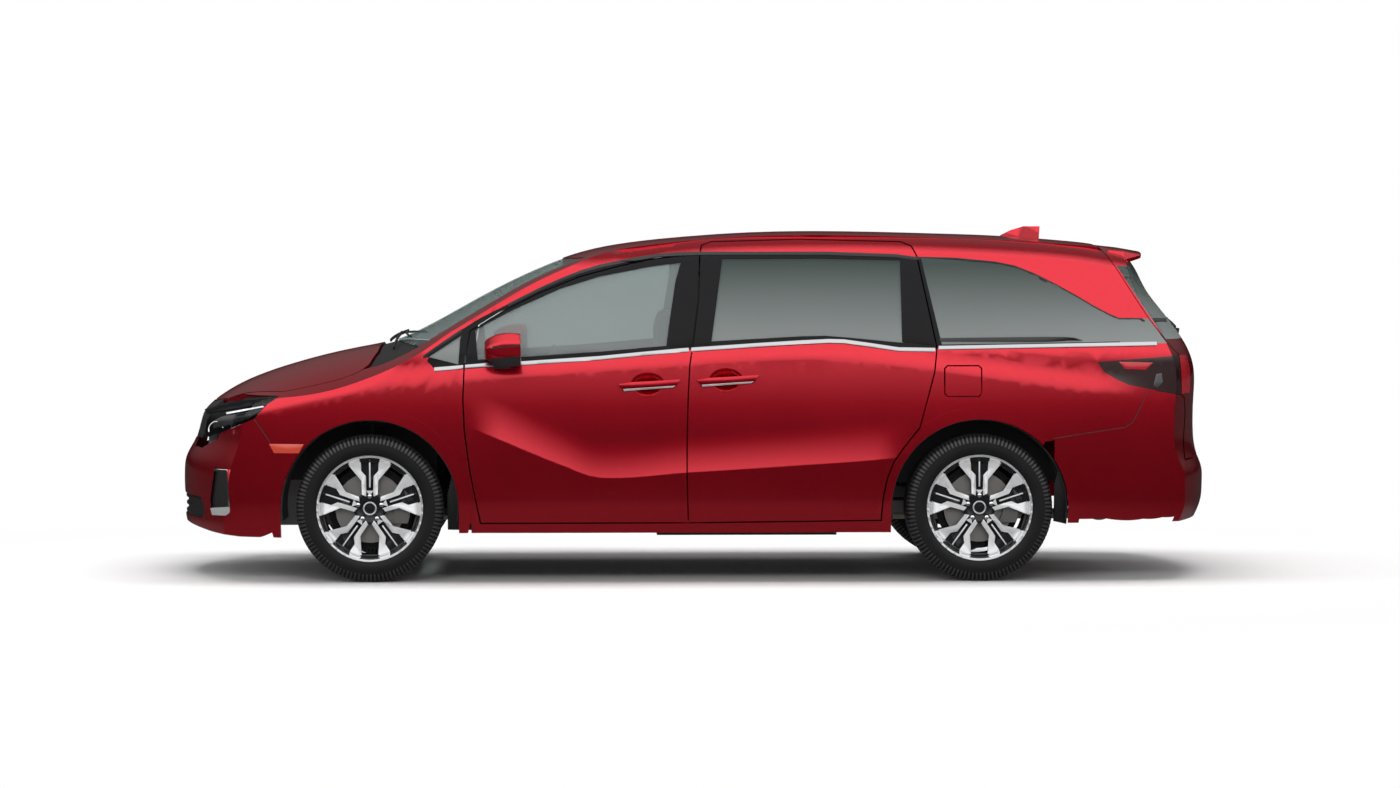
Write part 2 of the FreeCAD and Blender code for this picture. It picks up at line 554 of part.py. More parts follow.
# Door hinges: a bracket on the hinge pillar reaches round the door's inner face and up to a pin near its skin.
DOOR_HINGE_X, DOOR_HINGE_INSET = -1052, 22
pin_x, pin_y = along(DOOR_HINGE_X), HALF - DOOR_HINGE_INSET
brackets = []
for z in (600, 860):
    brackets.append(block(pin_x - 5, pin_x + 5, 850 * HALF / 997.0, pin_y + 5, z - 10, z + 10))
    brackets.append(block(along(-1238), pin_x + 5, 850 * HALF / 997.0, 861 * HALF / 997.0, z - 10, z + 10))
    brackets.append(block(along(-1238), along(-1175), 850 * HALF / 997.0, 885 * HALF / 997.0, z - 10, z + 10))
    brackets.append(upright(4, pin_x, pin_y, z - 40, z + 40))
    door = door.cut(block(along(-1200), pin_x + 15, 840 * HALF / 997.0, pin_y + 10, z - 16, z + 16))
    door = door.cut(upright(4 + SEAT, pin_x, pin_y, z - 45, z + 45))
side = side.fuse(brackets)
door_pane = layer(size("glass_inset"), size("glass_inset") + size("glass_wall"))
slide_zone = side_prism(slide_door_line, spread=-GAP / 2)
slide = cabin_walls.common(slide_zone).fuse(rear_flare.common(slide_zone))
slide = slide.cut(side_prism(slide_window)).cut(plan_region(ROOF_PLAN, SEAT).common(
    Part.makeBox(LENGTH, 1400, 400, Vector(-LENGTH / 2, -100, up(1590)))))


HANDLE_FRONT = (-245, 969)
HANDLE_SLIDE = (140, 990)


def handle_bowl(x, z):
    """hollow behind a door handle"""
    return Part.makeCylinder(34, 20, Vector(along(x) + 12, half_width(x, z) - 14, z), Vector(0, 1, 0))


def handle(x, z):
    """pull handle with its ends seated on the door"""
    y = half_width(x, z)
    back = Part.makePolygon([Vector(along(x) + dx, y + dy, z - 13) for dx, dy in
                             [(-118, -6), (-118, 14), (-96, 27), (96, 27), (118, 14), (118, -6), (84, -6),
                              (72, 12), (-72, 12), (-84, -6), (-118, -6)]])
    return Part.Face(back).extrude(Vector(0, 0, 26))


door = door.cut(handle_bowl(*HANDLE_FRONT))
slide = slide.cut(handle_bowl(*HANDLE_SLIDE))
front_handle = handle(*HANDLE_FRONT)
slide_handle = handle(*HANDLE_SLIDE)
door = door.cut(front_handle)
slide = slide.cut(slide_handle)
pair("body_side", largest(side))
pair("front_door", largest(door))
pair("front_door_glass", door_pane.common(side_prism(front_window)))
pair("front_door_handle", front_handle)
pair("sliding_door", largest(slide))
add("sliding_door_glass", both(door_pane.common(side_prism(slide_window))))
add("sliding_door_handles", both(slide_handle))

# Mirror case: lofted from the glass forwards to a rounded nose, on a foot that stands on the door.
mirror_y = half_width(-1000, 1080)


def rounded_frame(x, y0, y1, z0, z1, r):
    """closed outline across the car with round corners"""
    return Part.makePolygon([Vector(x, y0 + r, z0), Vector(x, y1 - r, z0), Vector(x, y1, z0 + r),
                             Vector(x, y1, z1 - r), Vector(x, y1 - r, z1), Vector(x, y0 + r, z1),
                             Vector(x, y0, z1 - r), Vector(x, y0, z0 + r), Vector(x, y0 + r, z0)])


case = Part.makeLoft([rounded_frame(along(-870), mirror_y + 32, mirror_y + 240, 1070, 1222, 40),
                      rounded_frame(along(-930), mirror_y + 26, mirror_y + 240, 1064, 1228, 44),
                      rounded_frame(along(-1000), mirror_y + 30, mirror_y + 225, 1076, 1216, 44),
                      rounded_frame(along(-1048), mirror_y + 60, mirror_y + 180, 1106, 1186, 36)], True, False)
arm = Part.makeBox(86, 84, 26, Vector(along(-1010), mirror_y - 20, 1050))
mirror = case.fuse(arm).cut(door)
pair("door_mirror", largest(mirror))

print("nose")
NOSE_CORE_PLAN = [(-2565, 0), (-2550, 250), (-2480, 480), (-2390, 650), (-2300, 770), (-2200, 850),
                  (-2056, 920), (-1880, 950), (-1400, 954.6), (-1000, 954.6), (-1000, 0)]
NOSE_CORE_SIDE = [(-2570, 100), (-2574, 540), (-2535, 610), (-2490, 760), (-2430, 800), (-2250, 850),
                  (-2000, 890), (-1700, 950), (-1500, 1010), (-1350, 1060), (-1000, 1060), (-1000, 100)]
nose_core = plan_prism(NOSE_CORE_PLAN).common(side_prism(NOSE_CORE_SIDE, near=-10))
nose_skin = nose_full.cut(nose_core)
FENDER = [(-1073, 289), (-1097, 406), (-1126, 553), (-1151, 749), (-1158, 896), (-1151, 1060), (-1298, 1050),
          (-1352, 1108), (-1269, 1170), (-1205, 1222), (-1205, 1500), (-2300, 1500), (-2300, 915), (-2057, 915),
          (-2123, 870), (-2182, 804), (-2147, 745), (-2108, 676), (-2083, 636), (-2056, 560), (-1900, 240),
          (-1073, 240)]
BUMPER = [(-2700, 275), (-2600, 262), (-2414, 231), (-2264, 217), (-1900, 217), (-2056, 560), (-2083, 636),
          (-2108, 676), (-2147, 745), (-2182, 804), (-2222, 786), (-2361, 726), (-2461, 690), (-2700, 660)]
HEADLAMP = [(-2700, 660.8), (-2461, 690.8), (-2361, 726.8), (-2222, 786.8), (-2181, 805), (-2122, 870.3),
            (-2056, 915.3), (-2386, 884), (-2461, 842), (-2700, 815)]
fender_zone = side_prism(FENDER, near=300)
fender = nose_skin.common(fender_zone).fuse(front_flare.common(fender_zone)).cut(front_arch)
fender = fender.cut(plan_region(HOOD_PLAN, GAP / 2)).cut(plan_region(COWL_PLAN)).cut(screen_region)
fender = fender.cut(side_prism(HEADLAMP)).cut(door_hole)
add("fenders", both(largest(fender)))
LAMP_INNER = 430.0
lamp_core = plan_prism([(x + size("lamp_depth") - WALL, y - size("lamp_depth") + WALL if y else 0)
                        for x, y in NOSE_CORE_PLAN])
head_lamp = nose_full.common(side_prism(HEADLAMP, near=LAMP_INNER)).cut(lamp_core)
head_lamp = head_lamp.cut(plan_region(HOOD_PLAN, GAP / 2))
add("headlamps", both(largest(head_lamp)))
bumper_zone = side_prism(BUMPER)
bumper = nose_skin.common(bumper_zone).fuse(front_flare.common(bumper_zone)).cut(front_arch)
DUCT = [(-2414, 340), (-2330, 328), (-2312, 360), (-2320, 548), (-2395, 552), (-2422, 380)]
duct = side_prism(DUCT, near=600)
bumper = bumper.cut(duct)
LOWER_GRILLE = [(0, 292), (560, 292), (600, 320), (560, 398), (0, 404)]
lower_mouth = face_prism(LOWER_GRILLE, -LENGTH / 2 - 50, FRONT_AXLE)
bumper = bumper.cut(lower_mouth)
front_bumper = bumper.fuse(mirrored(bumper))
add("front_bumper", largest(front_bumper))
lower_slats = []
upper_frame = nose_skin.common(side_prism([(-2700, 660.3), (-2461, 690.3), (-2361, 726.3), (-2361, 884), (-2386, 884),
                               (-2450, 905), (-2700, 905)], far=LAMP_INNER))
upper_frame = upper_frame.cut(plan_region(HOOD_PLAN, GAP / 2))
UPPER_MOUTH = [(0, 690), (375, 690), (400, 790), (0, 800)]
upper_mouth = face_prism(UPPER_MOUTH, -LENGTH / 2 - 50, FRONT_AXLE)
upper_frame = upper_frame.cut(upper_mouth)
SLATS = 4
for i in range(SLATS):
    z = 690 + 106 * (i + 0.5) / SLATS
    slat = nose_full.common(wrap(4)).cut(wrap(24)).common(Part.makeBox(900, 420, 9, Vector(-LENGTH / 2, 0, z - 4.5)))
    upper_frame = upper_frame.fuse(slat.common(upper_mouth))
for i in range(3):
    z = 292 + 110 * (i + 0.5) / 3
    slat = nose_full.common(wrap(4)).cut(wrap(24)).common(Part.makeBox(900, 620, 9, Vector(-LENGTH / 2, 0, z - 4.5)))
    lower_slats.append(slat.common(lower_mouth))
duct_plate = nose_skin.common(wrap(14)).common(duct)
upper_frame = upper_frame.fuse(mirrored(upper_frame))
lower = [p.fuse(mirrored(p)) for p in lower_slats]
add("grille", Part.makeCompound([largest(p) for p in [upper_frame] + lower] + [duct_plate, mirrored(duct_plate)]))

print("tail")
behind = Part.makeBox(1000, 1200, 1900, Vector(along(1700), 0, 100))
tail_full = outer_right.common(behind)
tail_skin = tail_full.cut(cabin_core.common(wrap(size("tailgate_wall"))))
BEHIND_SEAM = TAIL_SEAM + [(2750, 590), (2750, 1800)]
gate = tail_skin.common(side_prism(BEHIND_SEAM, spread=-GAP / 2))
GATE_HOLE = [(0, 1200), (640, 1200), (665, 1230), (600, 1500), (570, 1530), (0, 1540)]
gate_hole = face_prism(GATE_HOLE, along(1900), LENGTH / 2 + 50)
glass_zone = side_prism([(2080, 1555), (2242, 1292), (2318, 1186), (2750, 1172), (2750, 1560)], spread=-GAP / 2)
gate_pane = tail_full.cut(layer(size("glass_wall"), lambda x, z: half_width(x, z) + 60)
                          .common(wrap(size("glass_wall")))).common(glass_zone)
gate_pane = gate_pane.common(side_prism(BEHIND_SEAM, spread=-GAP / 2))
gate = gate.cut(gate_pane).cut(gate_hole)
GATE_LAMP = [(2380, 1106), (2750, 1106), (2750, 922), (2390, 914)]
gate_lamp_zone = side_prism(GATE_LAMP, near=560).common(side_prism(BEHIND_SEAM, spread=-GAP / 2))
gate_lamp = tail_skin.common(gate_lamp_zone)
gate = gate.cut(gate_lamp)
gate = gate.fuse(mirrored(gate))
# Roof spoiler on the gate's upper edge: its section at the middle and at its ends, as drawn (x, z).
SPOILER_MIDDLE = [(2052, 1646), (2068, 1656), (2160, 1646), (2268, 1627), (2264, 1607), (2200, 1578), (2130, 1590)]
SPOILER_END = [(2050, 1618), (2066, 1630), (2140, 1622), (2225, 1606), (2222, 1590), (2165, 1570), (2110, 1578)]
SPOILER_SPAN = 610.0


def spoiler_section(y):
    share = (y / SPOILER_SPAN) ** 2
    corners = [Vector(along(a[0] + (b[0] - a[0]) * share), y, up(a[1] + (b[1] - a[1]) * share))
               for a, b in zip(SPOILER_MIDDLE, SPOILER_END)]
    return Part.makePolygon(corners + [corners[0]])


spoiler = Part.makeLoft([spoiler_section(SPOILER_SPAN * t) for t in (-1, -0.8, -0.5, 0, 0.5, 0.8, 1)], True, False)
gate = gate.fuse(spoiler)
for y in (-GATE_Y, GATE_Y):
    gate = gate.cut(block(along(2000), gate_x + 14, y - 14, y + 14, gate_z - 120, gate_z + 9))
    gate = gate.cut(Part.makeCylinder(4 + SEAT, 60, Vector(gate_x, y - 30, gate_z), Vector(0, 1, 0)))
PLATE_X = 2557.0
plate_flat = Part.makeBox(60, 330, 200, Vector(along(PLATE_X) - 6, -165, 700))
gate = gate.cut(plate_flat)
for dy in (-1, 1):
    for dz in (-1, 1):
        spot = Vector(along(PLATE_X) - 60, dy * size("plate_spacing_across") / 2,
                      800 + dz * size("plate_spacing_up") / 2)
        gate = gate.cut(Part.makeCylinder(size("plate_hole"), 70, spot, Vector(1, 0, 0)))
add("tailgate", largest(gate))
add("tailgate_glass", largest(gate_pane.fuse(mirrored(gate_pane))))
add("tailgate_lamps", both(largest(gate_lamp)))
TAIL_BUMPER = [(1500, 180), (1600, 500), (1703, 688), (1821, 708), (2115, 747), (2145, 762), (2169, 806),
               (2243, 933), (2270, 934), (2404, 910), (2429, 889), (2438, 814), (2423, 681), (2423, 583),
               (2750, 583), (2750, 180)]
TAIL_CORE_PLAN = [(1500, 0), (1500, 985), (1800, 975), (2000, 957), (2200, 923), (2300, 897), (2400, 861),
                  (2700, 740), (2700, 0)]
bumper_core = plan_prism([(x, max(y - WALL, 0)) for x, y in TAIL_CORE_PLAN])
rear_bumper = tail_full.cut(bumper_core.common(inner_wrap))
tail_zone = side_prism(TAIL_BUMPER)
rear_bumper = rear_bumper.common(tail_zone).fuse(rear_flare.common(tail_zone)).cut(rear_arch)
rear_bumper = rear_bumper.common(Part.makeBox(1000, 1200, 900, Vector(along(1750), 0, 285)))
rear_bumper = rear_bumper.fuse(mirrored(rear_bumper))
add("rear_bumper", largest(rear_bumper))

print("running gear")
ACROSS = Rotation(Vector(1, 1, 1), 120)     # turns a sketch so that its x runs outboard and its y upwards
CORNERS = [("front_left", FRONT_AXLE, -1), ("front_right", FRONT_AXLE, 1),
           ("rear_left", REAR_AXLE, -1), ("rear_right", REAR_AXLE, 1)]


def outline(sketch, points):
    """closed outline of straight lines, held where it is drawn"""
    for i, (a, b) in enumerate(zip(points, points[1:] + points[:1])):
        sketch.addGeometry(Part.LineSegment(Vector(a[0], a[1], 0), Vector(b[0], b[1], 0)), False)
        sketch.addConstraint(Sketcher.Constraint("Block", i))
    for i in range(len(points)):
        sketch.addConstraint(Sketcher.Constraint("Coincident", i, 2, (i + 1) % len(points), 1))


def turned(label, points):
    """a body turned about a wheel's axis from (outboard, radius) points"""
    body = doc.addObject("PartDesign::Body", label)
    body.Label = label
    sketch = body.newObject("Sketcher::SketchObject", label + "_profile")
    sketch.Placement = Placement(Vector(), ACROSS)
    outline(sketch, points)
    turn = body.newObject("PartDesign::Revolution", label + "_turned")
    turn.Profile = sketch
    turn.ReferenceAxis = (sketch, ["H_Axis"])
    turn.Angle = 360
    body.Tip = turn
    doc.recompute()
    return body


def pocketed(body, label, depth, count, points=None, holes=None):
    """a pocket from the outboard side, repeated round the wheel's axis"""
    profile = body.Group[0]
    sketch = body.newObject("Sketcher::SketchObject", label)
    sketch.Placement = Placement(Vector(0, size("spoke_face") + 20, 0), Rotation(Vector(1, 0, 0), 90))
    if points:
        outline(sketch, points)
    else:
        x, y, radius = holes
        sketch.addGeometry(Part.Circle(Vector(x, y, 0), Vector(0, 0, 1), radius), False)
        sketch.addConstraint(Sketcher.Constraint("Block", 0))
    before = body.Shape.Volume
    pocket = body.newObject("PartDesign::Pocket", label + "_cut")
    pocket.Profile = sketch
    pocket.Length = depth
    pocket.Reversed = True
    body.Tip = pocket
    doc.recompute()
    if pocket.Shape.Volume > before - 1:
        raise ValueError("%s cuts nothing" % label)
    pattern = body.newObject("PartDesign::PolarPattern", label + "_round")
    pattern.Originals = [pocket]
    pattern.Axis = (profile, ["H_Axis"])
    pattern.Angle = 360
    pattern.Occurrences = int(size(count))
    pattern.setExpression("Occurrences", "sizes." + count)
    body.Tip = pattern
    doc.recompute()


def at_corner(body, axle, side):
    """stand a body at a corner of the car, tied to the sheet"""
    body.Placement = Placement(Vector(axle, side * size("track") / 2, size("hub_height")),
                               Rotation(Vector(0, 0, 1), 0 if side > 0 else 180))
    sign = "-" if axle < 0 else "+"
    body.setExpression("Placement.Base.x", "(sizes.front_overhang %s sizes.wheelbase - sizes.rear_overhang) / 2" % sign)
    body.setExpression("Placement.Base.y", "%s sizes.track / 2" % ("-" if side < 0 else ""))
    body.setExpression("Placement.Base.z", "sizes.hub_height")
    pieces[body.Label] = body


TYRE_HALF = size("tyre_width") / 2
RIM_HALF = size("rim_width") / 2
FLANGE = 8.0
BEAD = size("bead_radius")
TYRE = [(-TYRE_HALF, size("rim_radius") + SEAT), (-TYRE_HALF, size("tyre_radius") - 14),
        (-TYRE_HALF + 17, size("tyre_radius"))]
TYRE = TYRE + [(-y, r) for y, r in reversed(TYRE)]
SPOKE_BACK = size("spoke_face") - size("spoke_thick")
BARREL = BEAD - size("barrel_wall")
RIM = [(-RIM_HALF, size("rim_radius")), (-RIM_HALF + FLANGE, size("rim_radius")), (-RIM_HALF + FLANGE, BEAD),
       (RIM_HALF - FLANGE, BEAD), (RIM_HALF - FLANGE, size("rim_radius")), (RIM_HALF, size("rim_radius")),
       (RIM_HALF - 3, BEAD - 3), (size("spoke_face"), BEAD - 11), (size("spoke_face"), 62),
       (size("spoke_face") - 6, 54), (size("spoke_face") - 6, size("bore_radius")),
       (size("hub_face"), size("bore_radius")), (size("hub_face"), 78), (SPOKE_BACK, 86), (SPOKE_BACK, BARREL - 6),
       (SPOKE_BACK - 10, BARREL), (-RIM_HALF + 3, BARREL)]
DISC_IN = 8.0
DISC_OUT = DISC_IN + size("disc_thick")
HAT = 80.0
BEARING = size("spindle_radius") + size("spindle_play")
DISC = [(size("hub_face"), BEARING), (size("hub_face"), HAT), (DISC_OUT, HAT), (DISC_OUT, size("disc_radius")),
        (DISC_IN, size("disc_radius")), (DISC_IN, HAT + 15), (DISC_OUT - 10, HAT + 15), (DISC_OUT - 10, HAT - 8),
        (size("hub_face") - 8, HAT - 8), (size("hub_face") - 8, 40), (DISC_IN, 40), (DISC_IN, BEARING)]
# Windows between the spokes and the sunk panel of each spoke, as (out from the axis, to the side).
WINDOW = [(78, -9), (135, -47), (BEAD - 17, -41), (BEAD - 17, 41), (135, 47), (78, 9)]
PANEL = [(88, -17), (160, -19), (185, -42), (BEAD - 16, -44), (BEAD - 16, 44), (185, 42), (160, 19), (88, 17)]
PANEL_DEPTH = 7.0
window = [(aside, -out) for out, aside in WINDOW]
panel = [(aside, out) for out, aside in PANEL]
for corner, axle, side in CORNERS:
    at_corner(turned("tyre_" + corner, TYRE), axle, side)
    wheel = turned("wheel_" + corner, RIM)
    pocketed(wheel, "window_" + corner, 50, "spoke_count", points=window)
    pocketed(wheel, "panel_" + corner, 20 + PANEL_DEPTH, "spoke_count", points=panel)
    pocketed(wheel, "lug_" + corner, 90, "stud_count", holes=(0, size("stud_circle") / 2, size("stud_radius")))
    at_corner(wheel, axle, side)
    at_corner(turned("brake_disc_" + corner, DISC), axle, side)

# Steering axis, seen from the wheel's centre: lower ball joint to strut top.
FOOT = Vector(0, -size("kingpin_foot"), -150)
HEAD = Vector(0, -size("kingpin_head"), 570)
KINGPIN = HEAD - FOOT
KINGPIN.normalize()


def rod(radius, low, high):
    """round bar on the steering axis between two heights"""
    start, stop = [FOOT + (HEAD - FOOT) * ((z - FOOT.z) / (HEAD.z - FOOT.z)) for z in (low, high)]
    return Part.makeCylinder(radius, (stop - start).Length, start, KINGPIN)


def across(radius, y0, y1, x=0.0, z=0.0):
    return Part.makeCylinder(radius, y1 - y0, Vector(x, y0, z), Vector(0, 1, 0))


RUN = size("running_gap")


def caliper(reach):
    """brake caliper astride the disc, with its bracket; reach is where the hub carrier ends"""
    body = across(198, -22, 64).cut(across(120, -30, 70))
    body = body.common(Part.makeBox(400, 100, 150, Vector(0, -25, -75)))
    body = body.cut(across(size("disc_radius") + RUN, DISC_IN - RUN, DISC_OUT + RUN))
    return body.fuse(block(30, 150, reach, -10, -24, 24))


carrier_end = DISC_IN - RUN
spindle = across(size("spindle_radius"), 0, size("hub_face") - 8)
knuckle = across(50, -70, carrier_end).fuse([
    spindle, rod(38, 78, 160), block(-25, 25, -118, -62, -10, 95), block(-20, 20, -66, -28, -125, -30),
    rod(12, -176, -118), caliper(-50)])
knuckle = knuckle.cut(rod(size("strut_radius") + SEAT, 74, 170)).removeSplitter()
FRONT_HUB = Vector(FRONT_AXLE, size("track") / 2, size("hub_height"))
REAR_HUB = Vector(REAR_AXLE, size("track") / 2, size("hub_height"))
knuckle.translate(FRONT_HUB)
pair("knuckle", knuckle)

strut = rod(size("strut_radius"), 85, 569)
for i in range(4):
    strut = strut.fuse(rod(size("spring_radius"), 400 + 40 * i, 412 + 40 * i))
strut.translate(FRONT_HUB)
tower_low = strut.BoundBox.ZMax + SEAT
add("front_struts", both(strut))

ARM = [(-28, -30), (28, -30), (60, -206), (100, -290), (200, -505), (-200, -505), (-100, -290), (-60, -206)]
ARM_WINDOW = [(-32, -270), (32, -270), (105, -470), (-105, -470)]


def plate(points, low, high):
    corners = [Vector(x, y, low) for x, y in points]
    return Part.Face(Part.makePolygon(corners + [corners[0]])).extrude(Vector(0, 0, high - low))


lower_arm = plate(ARM, -170, -150).cut(plate(ARM_WINDOW, -171, -149)).fuse(rod(24, -174, -146))
lower_arm = lower_arm.cut(rod(12 + SEAT, -190, -130))
lower_arm.translate(FRONT_HUB)
RAIL_IN, RAIL_OUT, RAIL_LOW, RAIL_HIGH = 420, 527, 480, 560
SUB_LOW = size("hub_height") - 170
SUB_HIGH = SUB_LOW + 48
subframe = block(FRONT_AXLE - 200, FRONT_AXLE + 220, -350, 350, SUB_LOW, SUB_HIGH)
subframe = subframe.cut(block(FRONT_AXLE - 130, FRONT_AXLE + 150, -270, 270, SUB_LOW - 1, SUB_HIGH + 1))
for x in (FRONT_AXLE - 200, FRONT_AXLE + 160):
    subframe = subframe.fuse(block(x, x + 60, -470, 470, SUB_LOW, SUB_HIGH))
    subframe = subframe.fuse(both(block(x, x + 60, RAIL_IN, RAIL_IN + 50, SUB_LOW, RAIL_LOW - SEAT)))
subframe = subframe.fuse(both(lower_arm)).removeSplitter()
add("front_subframe", largest(subframe))

print("underbody")
FLOOR_LOW = size("floor_height")
FLOOR_TOP = FLOOR_LOW + size("floor_thick")
REAR_FLOOR = 470.0
REAR_TOP = REAR_FLOOR + size("floor_thick")
FIREWALL = along(-1330)
RISER = along(950)
SIDE_CLEAR = 862 * HALF / 997.0
TUB = 640.0


def core(inset):
    """inside of the cabin's side walls, a little narrower"""
    rows = [[(max(y - inset, 0), z) for y, z in rows] for rows in (mid_section, rear_section)]
    return Part.makeLoft([section(-1420, rows[0]), section(1250, rows[0]), section(2400, rows[1])], True, True)


narrow_core = core(SEAT)
floor = block(FIREWALL, RISER, -SIDE_CLEAR, SIDE_CLEAR, FLOOR_LOW, FLOOR_TOP)
floor = floor.fuse(block(RISER - 40, RISER + 15, -TUB, TUB, FLOOR_LOW, REAR_TOP))
floor = floor.fuse(block(RISER - 40, along(2340), -TUB, TUB, REAR_FLOOR, REAR_TOP))
sill_rail = block(FIREWALL, RISER - 40, 810, 900, 250, FLOOR_TOP).common(narrow_core)
sill_rail = sill_rail.cut(block(FIREWALL - 5, RISER, SIDE_CLEAR, 950, 286, FLOOR_TOP + 1))
bulkhead = block(FIREWALL, FIREWALL + 30, 0, 900, FLOOR_LOW, 1050).common(narrow_core)
rail = block(along(-2440), FIREWALL + 10, RAIL_IN, RAIL_OUT, RAIL_LOW, RAIL_HIGH)
apron = block(along(-2040), FIREWALL + 10, RAIL_OUT - 12, RAIL_OUT, RAIL_LOW, tower_low + 12)
tower = block(FRONT_AXLE - 110, FRONT_AXLE + 110, RAIL_OUT - 12, FRONT_HUB.y - 120, tower_low, tower_low + 12)
right_half = sill_rail.fuse([bulkhead, rail, apron, tower])
tub_wall = across(size("arch_radius") - SEAT, TUB - 4, TUB, REAR_AXLE, size("hub_height"))
tub_wall = tub_wall.common(block(REAR_AXLE - 500, REAR_AXLE + 500, 0, 900, REAR_FLOOR, 1000))
right_half = right_half.fuse(tub_wall)
wheel_house = arch(FRONT_AXLE, size("arch_radius"), near=RAIL_OUT).cut(apron)
post_socket = block(along(-110), along(20), 805 * HALF / 997.0, 950, 240, FLOOR_TOP + 1)
floor = floor.fuse(both(right_half)).cut(both(wheel_house.cut(tower))).cut(both(post_socket)).removeSplitter()
add("floor", largest(floor))

LINER = size("arch_radius") - 3


def arch_liner(axle, inner, outer, bottom):
    shell = across(LINER, inner, outer, axle, size("hub_height"))
    shell = shell.cut(across(LINER - size("liner_wall"), inner - 1, outer + 1, axle, size("hub_height")))
    return shell.common(block(axle - 500, axle + 500, 0, 1100, bottom, 1000))


front_liner = arch_liner(FRONT_AXLE, RAIL_OUT + SEAT, 950, FLOOR_LOW)
hole = rod(size("spring_radius") + 16, 350, 520)
hole.translate(FRONT_HUB)
front_liner = front_liner.cut(hole).cut(block(along(-2500), along(-1000), 0, 560, 0, RAIL_HIGH + 20))
rear_liner = arch_liner(REAR_AXLE, TUB + SEAT, 940, 300)
add("arch_liners", Part.makeCompound([largest(front_liner), mirrored(largest(front_liner)), rear_liner,
                                      mirrored(rear_liner)]))

engine = doc.addObject("Part::Box", "engine")
engine.Label = "engine"
engine.Length, engine.Width, engine.Height = 560, 640, 620
engine.Placement = Placement(Vector(FRONT_AXLE - 500, -320, SUB_HIGH + SEAT), Rotation())
engine.setExpression("Placement.Base.x", "(sizes.front_overhang - sizes.wheelbase - sizes.rear_overhang) / 2 - 500")
pieces["engine"] = engine
radiator = doc.addObject("Part::Box", "radiator")
radiator.Label = "radiator"
radiator.Length, radiator.Width, radiator.Height = 40, 2 * (RAIL_IN - SEAT), 320
radiator.Placement = Placement(Vector(along(-2450), -RAIL_IN + SEAT, 420), Rotation())
pieces["radiator"] = radiator
tank = doc.addObject("Part::Box", "fuel_tank")
tank.Label = "fuel_tank"
tank.Length, tank.Width, tank.Height = 900, 780, 95
tank.Placement = Placement(Vector(along(-200), -600, FLOOR_LOW - SEAT - 95), Rotation())
tank.setExpression("Placement.Base.z", "sizes.floor_height - %.1f" % (95 + SEAT))
pieces["fuel_tank"] = tank

pipe = Part.makeCylinder(27, along(2050) - along(-1300), Vector(along(-1300), 300, 252), Vector(1, 0, 0))
muffler = across(92, -360, 380, along(2050), 352)
for x in (-900, 400):
    pipe = pipe.fuse(block(along(x), along(x) + 30, 290, 310, 270, FLOOR_LOW - SEAT))
for y in (-250, 250):
    muffler = muffler.fuse(block(along(2050) - 15, along(2050) + 15, y - 15, y + 15, 430, REAR_FLOOR - SEAT))
add("exhaust", pipe.fuse(muffler).removeSplitter())

axle = across(50, -175, carrier_end).fuse([spindle, caliper(-60), block(-410, 60, -255, -175, -42, 18),
                                           Part.makeCylinder(52, 12, Vector(-210, -270, 6))])
axle = axle.cut(block(-600, RISER + 15 + SEAT - REAR_AXLE, -300, 0, -100, 100))
axle.translate(REAR_HUB)
rear_axle = both(axle)
beam = across(38, -610, 610, REAR_AXLE - 120, size("hub_height") - 12)
add("rear_axle", largest(beam.fuse(rear_axle)))
spring_seat = size("hub_height") + 18
rear_spring = Part.makeCylinder(30, REAR_FLOOR - spring_seat - 2 * SEAT,
                                Vector(REAR_AXLE - 210, REAR_HUB.y - 270, spring_seat + SEAT))
for i in range(3):
    z = spring_seat + SEAT + 10 + 28 * i
    rear_spring = rear_spring.fuse(Part.makeCylinder(50, 12, Vector(REAR_AXLE - 210, REAR_HUB.y - 270, z)))
add("rear_springs", both(rear_spring))

print("interior")
SEAT_SIDE = [(-740, 0), (-380, 0), (-360, 180), (-250, 220), (-120, 840), (-95, 985), (-165, 1000), (-210, 850),
             (-330, 360), (-400, 300), (-800, 320), (-840, 260), (-800, 200)]


def seat(x, y, width, base):
    corners = [Vector(along(x + dx), y - width / 2, base + SEAT + dz) for dx, dz in SEAT_SIDE]
    return Part.Face(Part.makePolygon(corners + [corners[0]])).extrude(Vector(0, width, 0))


SEAT_Y = 400.0
add("front_seats", both(seat(0, SEAT_Y, size("seat_width"), FLOOR_TOP)))
add("middle_seats", both(seat(960, SEAT_Y, size("seat_width"), FLOOR_TOP)))
add("rear_seat", seat(1850, 0, 1160, REAR_TOP))
DASH = [(-1300 + SEAT, 740), (-1300 + SEAT, 1060), (-1080, 1075), (-960, 1040), (-930, 960), (-960, 860), (-1060, 760)]
dash_points = [Vector(along(-1330) + 30 + SEAT if x < -1290 else along(x), -800, z) for x, z in DASH]
dashboard = Part.Face(Part.makePolygon(dash_points + [dash_points[0]])).extrude(Vector(0, 1600, 0))
add("dashboard", dashboard)
rim = [Vector(size("steering_radius") - 12 + 12 * math.cos(t), 12 * math.sin(t), 0)
       for t in [math.radians(60 * i) for i in range(6)]]
ring = Part.Face(Part.makePolygon(rim + [rim[0]])).revolve(Vector(), Vector(0, 1, 0), 360)
hub = Part.makeCylinder(62, 36, Vector(0, -18, 0), Vector(0, 1, 0))
spokes = block(-size("steering_radius") + 12, size("steering_radius") - 12, -8, 8, -18, 18)
spokes = spokes.fuse(block(-16, 16, -8, 8, -size("steering_radius") + 12, 0))
column = Part.makeCylinder(24, 260, Vector(0, 0, 0), Vector(0, 1, 0))
steering = ring.fuse([hub, spokes, column])
steering.rotate(Vector(), Vector(1, 0, 0), 180)
steering.rotate(Vector(), Vector(0, 0, 1), -90)
steering.rotate(Vector(), Vector(0, 1, 0), 25)
steering.translate(Vector(along(-790), -SEAT_Y, 985))
